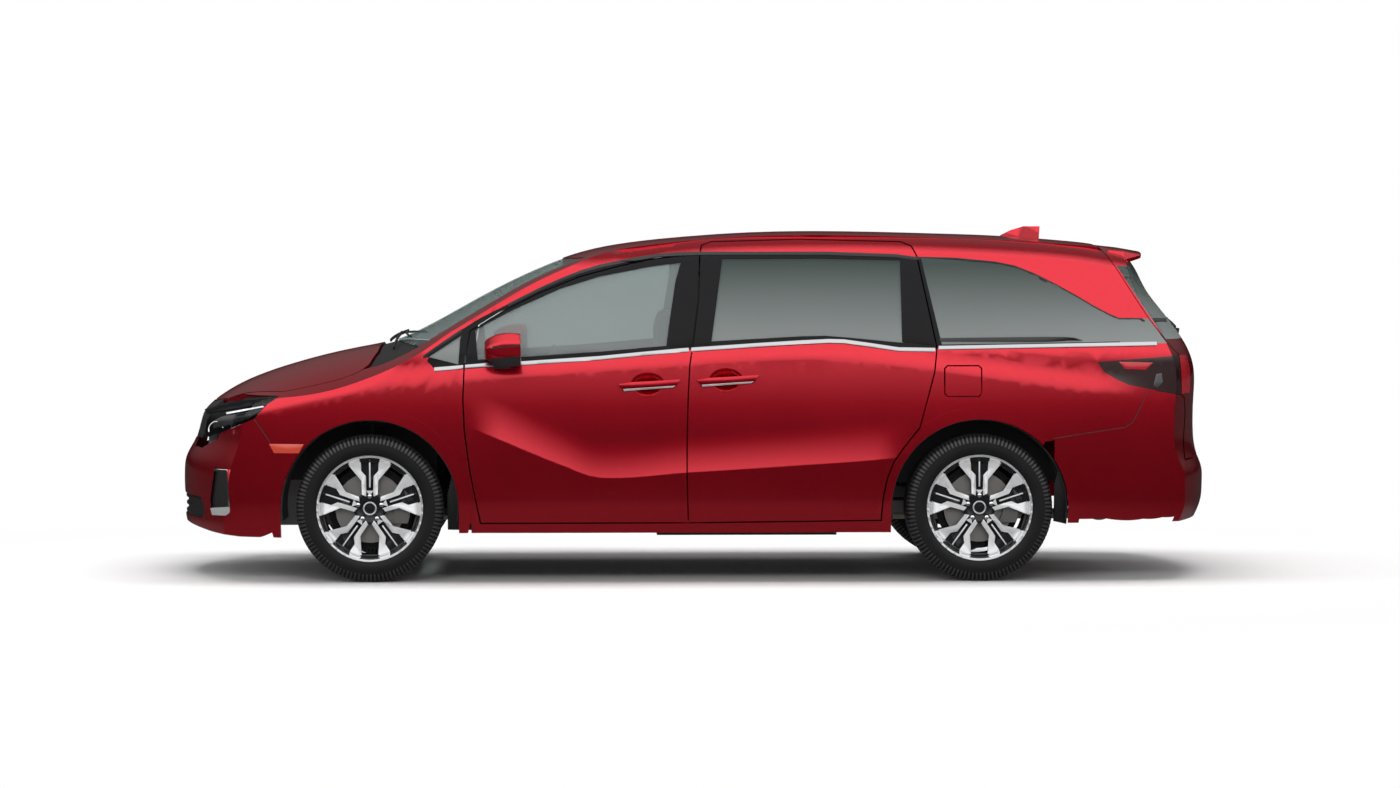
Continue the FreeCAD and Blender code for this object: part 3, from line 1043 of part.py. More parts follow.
add("steering_wheel", largest(steering.cut(dashboard)))

doc.recompute()
for item in doc.Objects:
    if "Invalid" in item.State or "Error" in item.State:
        raise ValueError("%s is %s" % (item.Label, item.State))
for label, item in pieces.items():
    shape = item.Shape
    if shape.isNull() or not shape.isValid() or not shape.Solids:
        raise ValueError("%s has no sound solid" % label)
    print("%-24s %2d solids %9.1f cm3" % (label, len(shape.Solids), shape.Volume / 1e3))

os.makedirs("parts", exist_ok=True)
for label, item in pieces.items():
    item.Shape.exportStep("parts/%s.step" % label)
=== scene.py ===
# A three-row family minivan in candy red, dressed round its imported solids. Metres, nose towards -X, left side -Y.
import json
import math

import bpy
import numpy as np
from mathutils import Matrix, Vector
from mathutils.bvhtree import BVHTree

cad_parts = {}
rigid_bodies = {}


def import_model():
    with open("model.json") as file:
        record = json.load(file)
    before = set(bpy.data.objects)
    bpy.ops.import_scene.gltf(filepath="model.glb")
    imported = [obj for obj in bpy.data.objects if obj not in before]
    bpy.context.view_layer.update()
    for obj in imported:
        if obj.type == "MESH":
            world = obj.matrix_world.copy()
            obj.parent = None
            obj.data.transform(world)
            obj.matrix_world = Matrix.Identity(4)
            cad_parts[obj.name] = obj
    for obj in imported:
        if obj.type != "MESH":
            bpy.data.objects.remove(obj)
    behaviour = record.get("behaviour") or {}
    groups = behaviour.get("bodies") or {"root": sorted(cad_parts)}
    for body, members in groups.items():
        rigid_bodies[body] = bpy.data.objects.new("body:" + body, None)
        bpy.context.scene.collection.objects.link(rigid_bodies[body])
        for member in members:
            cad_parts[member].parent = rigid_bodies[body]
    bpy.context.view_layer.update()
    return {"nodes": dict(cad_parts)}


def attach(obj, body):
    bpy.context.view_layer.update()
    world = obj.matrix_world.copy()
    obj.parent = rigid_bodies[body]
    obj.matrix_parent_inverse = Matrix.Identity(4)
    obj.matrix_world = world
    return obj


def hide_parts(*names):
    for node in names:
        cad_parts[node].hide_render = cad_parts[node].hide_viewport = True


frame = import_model()
nodes = frame["nodes"]
sides = {"left": -1, "right": 1}
corners = ["front_left", "front_right", "rear_left", "rear_right"]


# Small helpers for modelling by operators.


def pickOnly(piece):
    if bpy.context.object and bpy.context.object.mode != "OBJECT":
        bpy.ops.object.mode_set(mode="OBJECT")
    bpy.ops.object.select_all(action="DESELECT")
    piece.hide_viewport = False
    piece.select_set(True)
    bpy.context.view_layer.objects.active = piece
    return piece


def editAll(piece, kind="FACE"):
    pickOnly(piece)
    bpy.ops.object.mode_set(mode="EDIT")
    bpy.ops.mesh.select_mode(type=kind)
    bpy.ops.mesh.select_all(action="SELECT")


def chooseThese(piece, flags):
    pickOnly(piece)
    bpy.ops.object.mode_set(mode="EDIT")
    bpy.ops.mesh.select_mode(type="FACE")
    bpy.ops.mesh.select_all(action="DESELECT")
    bpy.ops.object.mode_set(mode="OBJECT")
    piece.data.polygons.foreach_set("select", [bool(flag) for flag in flags])
    bpy.ops.object.mode_set(mode="EDIT")


def chooseFaces(piece, rule):
    chooseThese(piece, [rule(face.center, face.normal) for face in piece.data.polygons])


def vertexPlaces(piece):
    points = np.zeros(len(piece.data.vertices) * 3)
    piece.data.vertices.foreach_get("co", points)
    return points.reshape(-1, 3) * 1000


def closeEdit():
    bpy.ops.object.mode_set(mode="OBJECT")


def applyAll(piece):
    pickOnly(piece)
    for modifier in list(piece.modifiers):
        bpy.ops.object.modifier_apply(modifier=modifier.name)


def addModifier(piece, kind, **settings):
    modifier = piece.modifiers.new(kind.lower(), kind)
    for key, value in settings.items():
        setattr(modifier, key, value)
    return modifier


def shadeSmooth(piece, degrees=32):
    pickOnly(piece)
    bpy.ops.object.shade_smooth_by_angle(angle=math.radians(degrees))


def placeInMesh(piece):
    pickOnly(piece)
    bpy.ops.object.transform_apply(location=True, rotation=True, scale=True)
    return piece


def copyMesh(piece, name):
    twin = piece.copy()
    twin.data = piece.data.copy()
    twin.name = name
    twin.parent = None
    for key in list(twin.keys()):
        if key.startswith("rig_"):
            del twin[key]
    bpy.context.scene.collection.objects.link(twin)
    twin.hide_render = False
    twin.hide_viewport = False
    return twin


def mergedCopy(nodeName, name):
    twin = copyMesh(nodes[nodeName], name)
    twin.data.materials.clear()
    editAll(twin, "VERT")
    bpy.ops.mesh.remove_doubles(threshold=0.00002)
    closeEdit()
    return twin


def mirrorAcross(piece, name):
    twin = copyMesh(piece, name)
    twin.data.transform(Matrix.Scale(-1, 4, (0, 1, 0)))
    twin.data.flip_normals()
    return twin


def joinPieces(pieces, name):
    pickOnly(pieces[0])
    for piece in pieces[1:]:
        piece.select_set(True)
    bpy.context.view_layer.objects.active = pieces[0]
    bpy.ops.object.join()
    whole = bpy.context.object
    whole.name = name
    return whole


def outward(piece):
    editAll(piece)
    bpy.ops.mesh.normals_make_consistent(inside=False)
    closeEdit()


# The body's own lines, for the shading of its panels; millimetres, as they are drawn.

bodyForm = {"halfWidth": 997.0, "curl": 110.0, "tuck": 42.0, "ledge": 4.0, "scoop": 13.0, "scoopUp": 190.0,
            "scoopDown": 260.0}
centreLine = [
    (-2560, 150, 400, 0), (-2585, 225, 400, 0), (-2600, 290, 400, 0), (-2600, 350, 400, 0), (-2605, 420, 400, 0),
    (-2606, 500, 400, 0), (-2598, 575, 400, 0), (-2572, 630, 380, 0), (-2545, 680, 360, 0), (-2525, 745, 345, 0),
    (-2503, 809, 330, 0), (-2461, 858, 310, 10), (-2405, 900, 270, 30), (-2330, 945, 210, 60),
    (-2235, 989, 160, 100), (-2051, 1052, 80, 150), (-1866, 1102, 50, 170), (-1681, 1141, 80, 140),
    (-1540, 1172, 150, 70), (-1420, 1220, 195, 15), (-1199, 1338, 205, 0), (-1010, 1441, 205, 0),
    (-819, 1532, 205, 5), (-573, 1623, 180, 25), (-327, 1671, 110, 45), (-50, 1700, 40, 50), (289, 1722, 0, 50),
    (781, 1727, 0, 55), (1212, 1717, 0, 60), (1620, 1701, 0, 62), (1900, 1679, -20, 60), (2090, 1652, -70, 50),
    (2190, 1610, -150, 30), (2250, 1545, -210, 5), (2310, 1435, -240, 0), (2385, 1335, -250, 0),
    (2460, 1240, -258, 0), (2520, 1150, -260, 0), (2556, 1060, -260, 0), (2565, 960, -260, 0),
    (2560, 860, -260, 0), (2558, 760, -260, 0), (2562, 670, -260, 0), (2580, 590, -260, 0),
    (2602, 530, -260, 0), (2606, 450, -260, 0), (2600, 370, -260, 0), (2570, 290, -260, 0), (2500, 150, -260, 0)]


def smoothStep(t):
    t = np.clip(t, 0.0, 1.0)
    return t * t * (3 - 2 * t)


def lineThrough(*points):
    # cubic through the points, level past its ends
    xs = np.array([a for a, _ in points], float)
    ys = np.array([b for _, b in points], float)
    slopes = np.zeros(len(xs))
    slopes[1:-1] = (ys[2:] - ys[:-2]) / (xs[2:] - xs[:-2])

    def value(x):
        x = np.clip(x, xs[0], xs[-1])
        i = np.clip(np.searchsorted(xs, x, side="right") - 1, 0, len(xs) - 2)
        h = xs[i + 1] - xs[i]
        t = (x - xs[i]) / h
        start = (1 + 2 * t) * (1 - t) ** 2 * ys[i] + t * (1 - t) ** 2 * h * slopes[i]
        return start + t * t * (3 - 2 * t) * ys[i + 1] + t * t * (t - 1) * h * slopes[i + 1]
    return value


edgeHeight = lineThrough((-2740, 780), (-2500, 845), (-2300, 895), (-2100, 940), (-1900, 985), (-1700, 1030),
                         (-1550, 1080), (-1400, 1150), (-1250, 1235), (-1100, 1322), (-900, 1432), (-700, 1525),
                         (-500, 1595), (-300, 1640), (-100, 1665), (200, 1686), (781, 1694), (1212, 1683),
                         (1620, 1663), (1900, 1640), (2060, 1615), (2300, 1585), (2740, 1560))
curlShare = lineThrough((-1750, 1), (-1450, 0), (-750, 0), (-250, 1))
shoulderLine = lineThrough((-2700, 790), (-2300, 800), (-2000, 850), (-1616, 935), (-1342, 969), (-1072, 989),
                           (-779, 1008), (-485, 1028), (-45, 1057), (249, 1077), (592, 1087), (836, 1067),
                           (1169, 1028), (1472, 989), (1913, 930), (2300, 900), (2700, 890))
shoulderShare = lineThrough((-2000, 0), (-1400, 1), (1900, 1), (2250, 0))
waistLine = lineThrough((-1500, 900), (-1160, 774), (-975, 700), (-681, 578), (-485, 514), (-45, 539), (494, 573),
                        (983, 612), (1500, 700))
waistShare = lineThrough((-1160, 0), (-950, 1), (850, 1), (1100, 0))
noseTaper = lineThrough((-2700, 560), (-2606, 440), (-2500, 300), (-2400, 200), (-2300, 126), (-2200, 75),
                        (-2056, 28), (-1900, 8), (-1700, 0))
tailTaper = lineThrough((1500, 0), (1800, 10), (2000, 28), (2200, 62), (2300, 88), (2400, 124), (2500, 170),
                        (2700, 300))
glassTaper = lineThrough((-1500, 70), (-1100, 40), (-500, 8), (-200, 0), (1000, 0), (1500, 12), (2000, 45),
                         (2300, 80))


def waistForm(rise):
    # how far the door stands out by the height over its waist line: a scoop above, a flat fall below
    above = -bodyForm["ledge"] + bodyForm["scoop"] * np.clip(1 - rise / bodyForm["scoopUp"], 0, 1) ** 2
    reach = bodyForm["scoop"] - 2 * bodyForm["ledge"]
    below = bodyForm["ledge"] + reach * np.clip(1 + rise / bodyForm["scoopDown"], 0, 1)
    return np.where(rise >= 0, above, below)


def flankOut(x, z):
    # distance of the flank from the middle plane
    y = bodyForm["halfWidth"] - 6 - bodyForm["tuck"] * np.maximum(0.0, (400 - z) / 200.0) ** 1.6
    crease = shoulderLine(x)
    y = y - 10 * ((np.minimum(z, crease) - 720) / 300.0) ** 2
    above = np.maximum(0.0, z - crease)
    y = y - 11 * shoulderShare(x) * smoothStep(above / 110.0) - 0.05 * above
    y = y + waistShare(x) * waistForm(z - waistLine(x))
    over = np.maximum(0.0, z - 1130)
    y = y - 0.235 * over * smoothStep(over / 60.0 + 0.3) - 0.00011 * over * over
    y = y - noseTaper(x) - tailTaper(x) - smoothStep((z - 1080) / 350.0) * glassTaper(x)
    turned = np.maximum(0.0, (z - edgeHeight(x) + bodyForm["curl"]) / bodyForm["curl"])
    return y - 0.9 * bodyForm["curl"] * curlShare(x) * np.minimum(turned, 1.4) ** 3


def flankFacing(points):
    # distance from the flank and its outward direction, for points in millimetres
    x, y, z = points[:, 0], points[:, 1], points[:, 2]
    side = np.where(y < 0, -1.0, 1.0)
    step = 3.0
    alongSlope = (flankOut(x + step, z) - flankOut(x - step, z)) / (2 * step)
    upSlope = (flankOut(x, z + step) - flankOut(x, z - step)) / (2 * step)
    facing = np.stack([-alongSlope, side, -upSlope], 1)
    facing /= np.linalg.norm(facing, axis=1)[:, None]
    return np.abs(np.abs(y) - flankOut(x, z)), facing


def naturalSpline(at, values, places):
    # value and slope of the natural cubic through the points, at each place
    n = len(at)
    h = np.diff(at)
    system = np.eye(n)
    right = np.zeros((n, values.shape[1]))
    for i in range(1, n - 1):
        system[i, i - 1:i + 2] = h[i - 1], 2 * (h[i - 1] + h[i]), h[i]
        right[i] = 6 * ((values[i + 1] - values[i]) / h[i] - (values[i] - values[i - 1]) / h[i - 1])
    bend = np.linalg.solve(system, right)
    i = np.clip(np.searchsorted(at, places, side="right") - 1, 0, n - 2)
    left, width = (places - at[i])[:, None], h[i][:, None]
    rest = width - left
    value = (bend[i] * rest ** 3 + bend[i + 1] * left ** 3) / (6 * width)
    value += (values[i] / width - bend[i] * width / 6) * rest + (values[i + 1] / width - bend[i + 1] * width / 6) * left
    slope = (-bend[i] * rest ** 2 + bend[i + 1] * left ** 2) / (2 * width)
    slope += (values[i + 1] - values[i]) / width - (bend[i + 1] - bend[i]) * width / 6
    return value, slope


centreTable = np.array(centreLine, float)
centreAt = np.concatenate([[0], np.cumsum(np.hypot(np.diff(centreTable[:, 0]), np.diff(centreTable[:, 1])))])
centreFine = np.linspace(0, centreAt[-1], 1600)
centreValue, centreSlope = naturalSpline(centreAt, centreTable, centreFine)


def crossFacing(points):
    # the same for the surface that sweeps the centre line across the car
    distance = np.zeros(len(points))
    facing = np.zeros((len(points), 3))
    for start in range(0, len(points), 2000):
        part = points[start:start + 2000]
        y = part[:, 1] / bodyForm["halfWidth"]
        share = (y ** 2)[:, None]
        lineX = centreValue[:, 0][None] + centreValue[:, 2][None] * share
        lineZ = centreValue[:, 1][None] - centreValue[:, 3][None] * share
        gap = (lineX - part[:, 0][:, None]) ** 2 + (lineZ - part[:, 2][:, None]) ** 2
        best = gap.argmin(1)
        slope, value = centreSlope[best], centreValue[best]
        alongWay = np.stack([slope[:, 0] + slope[:, 2] * y ** 2, np.zeros(len(y)),
                             slope[:, 1] - slope[:, 3] * y ** 2], 1)
        acrossWay = np.stack([2 * value[:, 2] * y / bodyForm["halfWidth"], np.ones(len(y)),
                              -2 * value[:, 3] * y / bodyForm["halfWidth"]], 1)
        way = np.cross(alongWay, acrossWay)
        facing[start:start + 2000] = way / np.linalg.norm(way, axis=1)[:, None]
        distance[start:start + 2000] = np.sqrt(gap[np.arange(len(part)), best])
    return distance, facing


def shadeAsDrawn(piece, reach=16.0, agree=0.86):
    # where a panel's face follows the drawn body, its corners take the drawn body's direction
    mesh = piece.data
    points = np.zeros(len(mesh.vertices) * 3)
    mesh.vertices.foreach_get("co", points)
    points = points.reshape(-1, 3) * 1000
    surfaces = [flankFacing(points), crossFacing(points)]
    cornerVertex = np.zeros(len(mesh.loops), int)
    mesh.loops.foreach_get("vertex_index", cornerVertex)
    faceFacing = np.zeros(len(mesh.polygons) * 3)
    mesh.polygons.foreach_get("normal", faceFacing)
    sizes = np.zeros(len(mesh.polygons), int)
    mesh.polygons.foreach_get("loop_total", sizes)
    cornerFacing = np.repeat(faceFacing.reshape(-1, 3), sizes, axis=0)
    chosen = np.zeros((len(cornerVertex), 3))
    best = np.full(len(cornerVertex), agree)
    for distance, facing in surfaces:
        match = (facing[cornerVertex] * cornerFacing).sum(1)
        good = (match > best) & (distance[cornerVertex] < reach)
        chosen[good] = facing[cornerVertex][good]
        best[good] = match[good]
    mesh.normals_split_custom_set([tuple(v) for v in chosen])


# Materials: each is a recipe of nodes, written as expressions.


class Signal:
    def __init__(self, recipe, socket):
        self.recipe = recipe
        self.socket = socket

    def combine(self, operation, first, second):
        return self.recipe.add("ShaderNodeMath", {"operation": operation}, {0: first, 1: second})

    def __add__(self, other):
        return self.combine("ADD", self, other)

    def __radd__(self, other):
        return self.combine("ADD", other, self)

    def __sub__(self, other):
        return self.combine("SUBTRACT", self, other)

    def __rsub__(self, other):
        return self.combine("SUBTRACT", other, self)

    def __mul__(self, other):
        return self.combine("MULTIPLY", self, other)

    def __rmul__(self, other):
        return self.combine("MULTIPLY", other, self)

    def __pow__(self, other):
        return self.combine("POWER", self, other)

    def __gt__(self, other):
        return self.combine("GREATER_THAN", self, other)

    def __lt__(self, other):
        return self.combine("LESS_THAN", self, other)


class Recipe:
    def __init__(self, name):
        self.material = bpy.data.materials.new(name)
        self.material.use_nodes = True
        self.tree = self.material.node_tree
        self.tree.nodes.clear()
        self.end = self.tree.nodes.new("ShaderNodeOutputMaterial")

    def add(self, kind, settings=None, sockets=None, output=0):
        node = self.tree.nodes.new(kind)
        for key, value in (settings or {}).items():
            if key == "stops":
                ramp = node.color_ramp
                while len(ramp.elements) < len(value):
                    ramp.elements.new(0.5)
                for element, (place, colour) in zip(ramp.elements, value):
                    element.position = place
                    element.color = (*colour, 1) if len(colour) == 3 else colour
            else:
                setattr(node, key, value)
        for key, value in (sockets or {}).items():
            if isinstance(value, Signal):
                self.tree.links.new(value.socket, node.inputs[key])
            else:
                node.inputs[key].default_value = value
        return Signal(self, node.outputs[output])

    def place(self, scale=(1, 1, 1)):
        spot = self.add("ShaderNodeTexCoord", output=3)
        return self.add("ShaderNodeMapping", {}, {"Vector": spot, "Scale": scale})

    def noise(self, scale, detail=2.0, stretch=(1, 1, 1)):
        return self.add("ShaderNodeTexNoise", {}, {"Vector": self.place(stretch), "Scale": scale, "Detail": detail})

    def blendColours(self, share, first, second):
        mix = self.tree.nodes.new("ShaderNodeMix")
        mix.data_type = "RGBA"
        for slot, value in ((0, share), (6, first), (7, second)):
            if isinstance(value, Signal):
                self.tree.links.new(value.socket, mix.inputs[slot])
            else:
                mix.inputs[slot].default_value = value if slot == 0 else (*value, 1)
        return Signal(self, mix.outputs[2])

    def bump(self, height, strength, distance=0.001):
        return self.add("ShaderNodeBump", {}, {"Height": height, "Strength": strength, "Distance": distance})

    def principled(self, **sockets):
        names = {"colour": "Base Color", "rough": "Roughness", "metal": "Metallic", "coat": "Coat Weight",
                 "coatRough": "Coat Roughness", "normal": "Normal", "alpha": "Alpha", "sheen": "Sheen Weight",
                 "glow": "Emission Color", "glowPower": "Emission Strength", "specular": "Specular IOR Level",
                 "coatNormal": "Coat Normal", "see": "Transmission Weight", "index": "IOR"}
        given = {}
        for key, value in sockets.items():
            given[names[key]] = (*value, 1) if isinstance(value, tuple) and len(value) == 3 else value
        return self.add("ShaderNodeBsdfPrincipled", {}, given)

    def finish(self, shader):
        self.tree.links.new(shader.socket, self.end.inputs["Surface"])
        return self.material


def candyPaint(name, colour, deep):
    r = Recipe(name)
    flake = r.noise(2600, 1.0)
    cloud = r.noise(3.0, 2.0)
    tone = r.blendColours(flake * 0.6, colour, deep)
    return r.finish(r.principled(colour=tone, metal=0.86, rough=0.20 + cloud * 0.05, coat=0.6, coatRough=0.015))


def moulded(name, colour, rough=0.55, grain=900, depth=0.25, coat=0.0):
    r = Recipe(name)
    pebble = r.noise(grain, 3.0)
    wear = r.noise(9, 3.0)
    tone = r.blendColours(wear * 0.5, colour, tuple(c * 1.35 + 0.004 for c in colour))
    return r.finish(r.principled(colour=tone, rough=(rough - 0.07) + wear * 0.14, coat=coat, coatRough=0.05,
                                 normal=r.bump(pebble, depth, 0.0006)))


def glossyBlack(name, colour=(0.004, 0.004, 0.005), shine=0.15):
    r = Recipe(name)
    haze = r.noise(30, 2.0)
    return r.finish(r.principled(colour=colour, rough=0.10 + haze * 0.05, specular=shine))


def metal(name, colour, rough, scratch=0.1, metalness=1.0, stretch=(1, 1, 1), grain=400):
    r = Recipe(name)
    streak = r.noise(grain, 3.0, stretch)
    tone = r.blendColours(streak * 0.5, colour, tuple(c * 0.8 for c in colour))
    return r.finish(r.principled(colour=tone, metal=metalness, rough=rough + streak * scratch,
                                 normal=r.bump(streak, scratch, 0.0002)))


def window(name, tint, share=1.5, high=(0.2, 0.24, 0.23), low=(0.2, 0.24, 0.23), haze=0.1):
    # clear or tinted pane: what lies behind it shows through its tint, under a diffuse film painted darker towards the
    # top as painted shade and mixed in by the haze share, and its gloss lies over that
    r = Recipe(name)
    cloud = r.noise(2.0, 2.0)
    clear = r.add("ShaderNodeBsdfTransparent", {}, {"Color": (*tint, 1)})
    # the film's colour runs from low at the pane's foot to high at its top: painted shade, darker towards the top
    spot = r.add("ShaderNodeTexCoord", output=3)
    height = r.add("ShaderNodeSeparateXYZ", {}, {0: spot}, output=2)
    rise = r.add("ShaderNodeMapRange", {}, {"Value": height, "From Min": 1.15, "From Max": 1.56})
    paintedShadeFilm = r.add("ShaderNodeBsdfDiffuse", {}, {"Color": (*high, 1)})
    paintedPaleFilm = r.add("ShaderNodeBsdfDiffuse", {}, {"Color": (*low, 1)})
    paintedFilm = r.add("ShaderNodeMixShader", {}, {0: rise, 1: paintedPaleFilm, 2: paintedShadeFilm})
    through = r.add("ShaderNodeMixShader", {}, {0: cloud * 0.04 + haze, 1: clear, 2: paintedFilm})
    gloss = r.add("ShaderNodeBsdfGlossy", {}, {"Color": (1, 1, 1, 1), "Roughness": 0.01})
    edge = r.add("ShaderNodeFresnel", {}, {"IOR": share})
    return r.finish(r.add("ShaderNodeMixShader", {}, {0: edge * (0.34 + cloud * 0.06), 1: through, 2: gloss}))


def clearLens(name, tint, share=1.45):
    r = Recipe(name)
    through = r.add("ShaderNodeBsdfTransparent", {}, {"Color": (*tint, 1)})
    gloss = r.add("ShaderNodeBsdfGlossy", {}, {"Color": (1, 1, 1, 1), "Roughness": 0.02})
    edge = r.add("ShaderNodeFresnel", {}, {"IOR": share})
    return r.finish(r.add("ShaderNodeMixShader", {}, {0: edge * 0.9, 1: through, 2: gloss}))


def rubber(name, colour, rough=0.72, shine=0.5):
    r = Recipe(name)
    dust = r.noise(14, 4.0)
    pore = r.noise(700, 2.0)
    tone = r.blendColours(dust * 0.6, colour, tuple(c * 1.7 + 0.004 for c in colour))
    return r.finish(r.principled(colour=tone, rough=(rough - 0.08) + dust * 0.16, specular=shine,
                                 normal=r.bump(pore, 0.2, 0.0004)))


def cloth(name, colour):
    r = Recipe(name)
    warp = r.add("ShaderNodeTexWave", {"bands_direction": "X"},
                 {"Vector": r.place(), "Scale": 420.0, "Distortion": 0.6})
    weft = r.add("ShaderNodeTexWave", {"bands_direction": "Z"},
                 {"Vector": r.place(), "Scale": 420.0, "Distortion": 0.6})
    weave = Signal(r, warp.socket) * 0.5 + Signal(r, weft.socket) * 0.5
    shade = r.noise(6, 3.0)
    tone = r.blendColours(weave * 0.5 + shade * 0.3, tuple(c * 0.6 for c in colour), colour)
    return r.finish(r.principled(colour=tone, rough=0.9, sheen=0.3, normal=r.bump(weave, 0.4, 0.0006)))


print("materials")
paintRed = candyPaint("candyRedPaint", (0.66, 0.010, 0.028), (0.40, 0.003, 0.012))
blackGloss = glossyBlack("pianoBlack")
blackSatin = moulded("satinBlackPlastic", (0.012, 0.012, 0.013), 0.42, 900, 0.12)
blackGrain = moulded("grainedBlackPlastic", (0.016, 0.016, 0.017), 0.62, 700, 0.35)
cabinPlastic = moulded("grainedCabinPlastic", (0.045, 0.045, 0.048), 0.6, 600, 0.4)
cabinPale = moulded("paleRoofLining", (0.32, 0.31, 0.29), 0.85, 500, 0.3)
chrome = metal("brightChrome", (0.86, 0.87, 0.88), 0.05, 0.03)
beltChrome = metal("beltChrome", (0.50, 0.50, 0.51), 0.14, 0.05)
silverPaint = metal("satinSilver", (0.60, 0.61, 0.62), 0.28, 0.06, 0.5)
machined = metal("machinedAlloy", (0.80, 0.81, 0.82), 0.30, 0.08, 0.35, (1, 1, 1), 160)
wheelBlack = metal("wheelBlackPaint", (0.014, 0.014, 0.016), 0.22, 0.05, 0.3)
wheelGrey = metal("castWheelGrey", (0.11, 0.11, 0.12), 0.35, 0.08, 0.6)
brakeIron = metal("turnedIron", (0.34, 0.33, 0.32), 0.32, 0.18, 0.9, (1, 1, 1), 500)
castIron = metal("castIron", (0.16, 0.155, 0.15), 0.55, 0.2, 0.6)
darkSteel = metal("blackChassisPaint", (0.02, 0.02, 0.021), 0.5, 0.15, 0.2)
engineAlloy = metal("castEngineAlloy", (0.30, 0.30, 0.30), 0.5, 0.2, 0.8)
exhaustSteel = metal("exhaustSteel", (0.30, 0.27, 0.24), 0.38, 0.2, 0.9)
tyreRubber = rubber("tyreRubber", (0.004, 0.004, 0.0042), 0.55, 0.25)
sealRubber = rubber("sealRubber", (0.010, 0.010, 0.010), 0.6)
# each pane's last colours are its painted film, the first for its top and the second for its foot: painted shade,
# darker towards the top where they differ
screenGlass = window("screenGlass", (0.80, 0.86, 0.85), 1.5)
doorGlass = window("doorGlass", (0.80, 0.86, 0.85), 1.5, (0.28, 0.32, 0.31), (0.34, 0.36, 0.36), 0.34)
tintedGlass = window("tintedGlass", (0.16, 0.19, 0.18), 1.6, (0.042, 0.062, 0.056), (0.27, 0.295, 0.29), 0.74)
lampLens = clearLens("lampLens", (0.88, 0.90, 0.92))
amberLens = moulded("amberLens", (0.50, 0.050, 0.025), 0.22, 300, 0.25, 0.8)
smokedRed = moulded("smokedLampRed", (0.022, 0.006, 0.006), 0.16, 200, 0.05, 0.35)
lampRed = moulded("lampRed", (0.42, 0.010, 0.020), 0.16, 240, 0.1, 0.5)
# a paler rubber for the tread's lug tops: a painted highlight on the lugs, against the darker sidewall and sipes
treadRubber = rubber("treadRubber", (0.020, 0.020, 0.020), 0.42, 0.6)
cowlBlack = moulded("cowlBlack", (0.005, 0.005, 0.0055), 0.6, 700, 0.3)
lampDark = moulded("lampBowl", (0.02, 0.02, 0.022), 0.25, 300, 0.1, 0.6)
mirrorGlass = metal("mirrorGlass", (0.80, 0.82, 0.84), 0.02, 0.01)
seatCloth = cloth("seatCloth", (0.085, 0.083, 0.082))


def paintOver(piece, material):
    piece.data.materials.clear()
    piece.data.materials.append(material)


# Camera, floor and light.

print("camera, floor and light")
photoView = {"place": (-0.583, -20.997, 1.63), "aim": (0.004, -0.997, 0.925), "lens": 105.0}
bpy.ops.object.camera_add(location=photoView["place"])
camera = bpy.context.object
camera.name = "photoCamera"
camera.rotation_euler = (Vector(photoView["aim"]) - Vector(photoView["place"])).to_track_quat("-Z", "Y").to_euler()
camera.data.lens = photoView["lens"]
camera.data.sensor_width = 36
camera.data.clip_end = 200
bpy.context.scene.camera = camera

studio = {"floor": 60.0, "world": 0.55, "back": 1.0, "floorGloss": 0.03, "nearGloss": 0.16, "farGloss": 0.075,
          "skyGloss": 1.6,
          "gloss": [(0.0, 0.02), (0.03, 0.03), (0.09, 0.28), (0.18, 0.75), (0.4, 1.0), (1.0, 0.9)]}
bpy.ops.mesh.primitive_circle_add(vertices=96, radius=studio["floor"], fill_type="NGON", location=(0, 0, -0.0005))
floorDisc = bpy.context.object
floorDisc.name = "studioFloor"
floorRecipe = Recipe("paleFloor")
spot = floorRecipe.add("ShaderNodeTexCoord", output=3)
spread = floorRecipe.add("ShaderNodeMapping", {}, {"Vector": spot, "Scale": (1 / 4.6, 1 / 3.4, 1.0)})
away = floorRecipe.add("ShaderNodeVectorMath", {"operation": "LENGTH"}, {0: spread}, output=1)
fade = floorRecipe.add("ShaderNodeMapRange", {"interpolation_type": "SMOOTHSTEP"},
                       {"Value": away, "From Min": 0.62, "From Max": 1.25})
near = floorRecipe.principled(colour=(0.62, 0.62, 0.62), rough=0.9, specular=0.1)
plainWhite = floorRecipe.add("ShaderNodeEmission", {}, {"Color": (1, 1, 1, 1), "Strength": 1.0})
shownFloor = floorRecipe.add("ShaderNodeMixShader", {}, {0: fade, 1: near, 2: plainWhite})
mirrored = floorRecipe.add("ShaderNodeLightPath", output=3)
besideFloor = floorRecipe.add("ShaderNodeEmission", {}, {"Color": (1, 1, 1, 1), "Strength": studio["nearGloss"]})
distantFloor = floorRecipe.add("ShaderNodeEmission", {}, {"Color": (1, 1, 1, 1), "Strength": studio["floorGloss"]})
beside = floorRecipe.add("ShaderNodeMapRange", {"interpolation_type": "SMOOTHSTEP"},
                         {"Value": away, "From Min": 0.45, "From Max": 1.0})
dimFloor = floorRecipe.add("ShaderNodeMixShader", {}, {0: beside, 1: besideFloor, 2: distantFloor})
floorRecipe.finish(floorRecipe.add("ShaderNodeMixShader", {}, {0: mirrored, 1: shownFloor, 2: dimFloor}))
paintOver(floorDisc, floorRecipe.material)

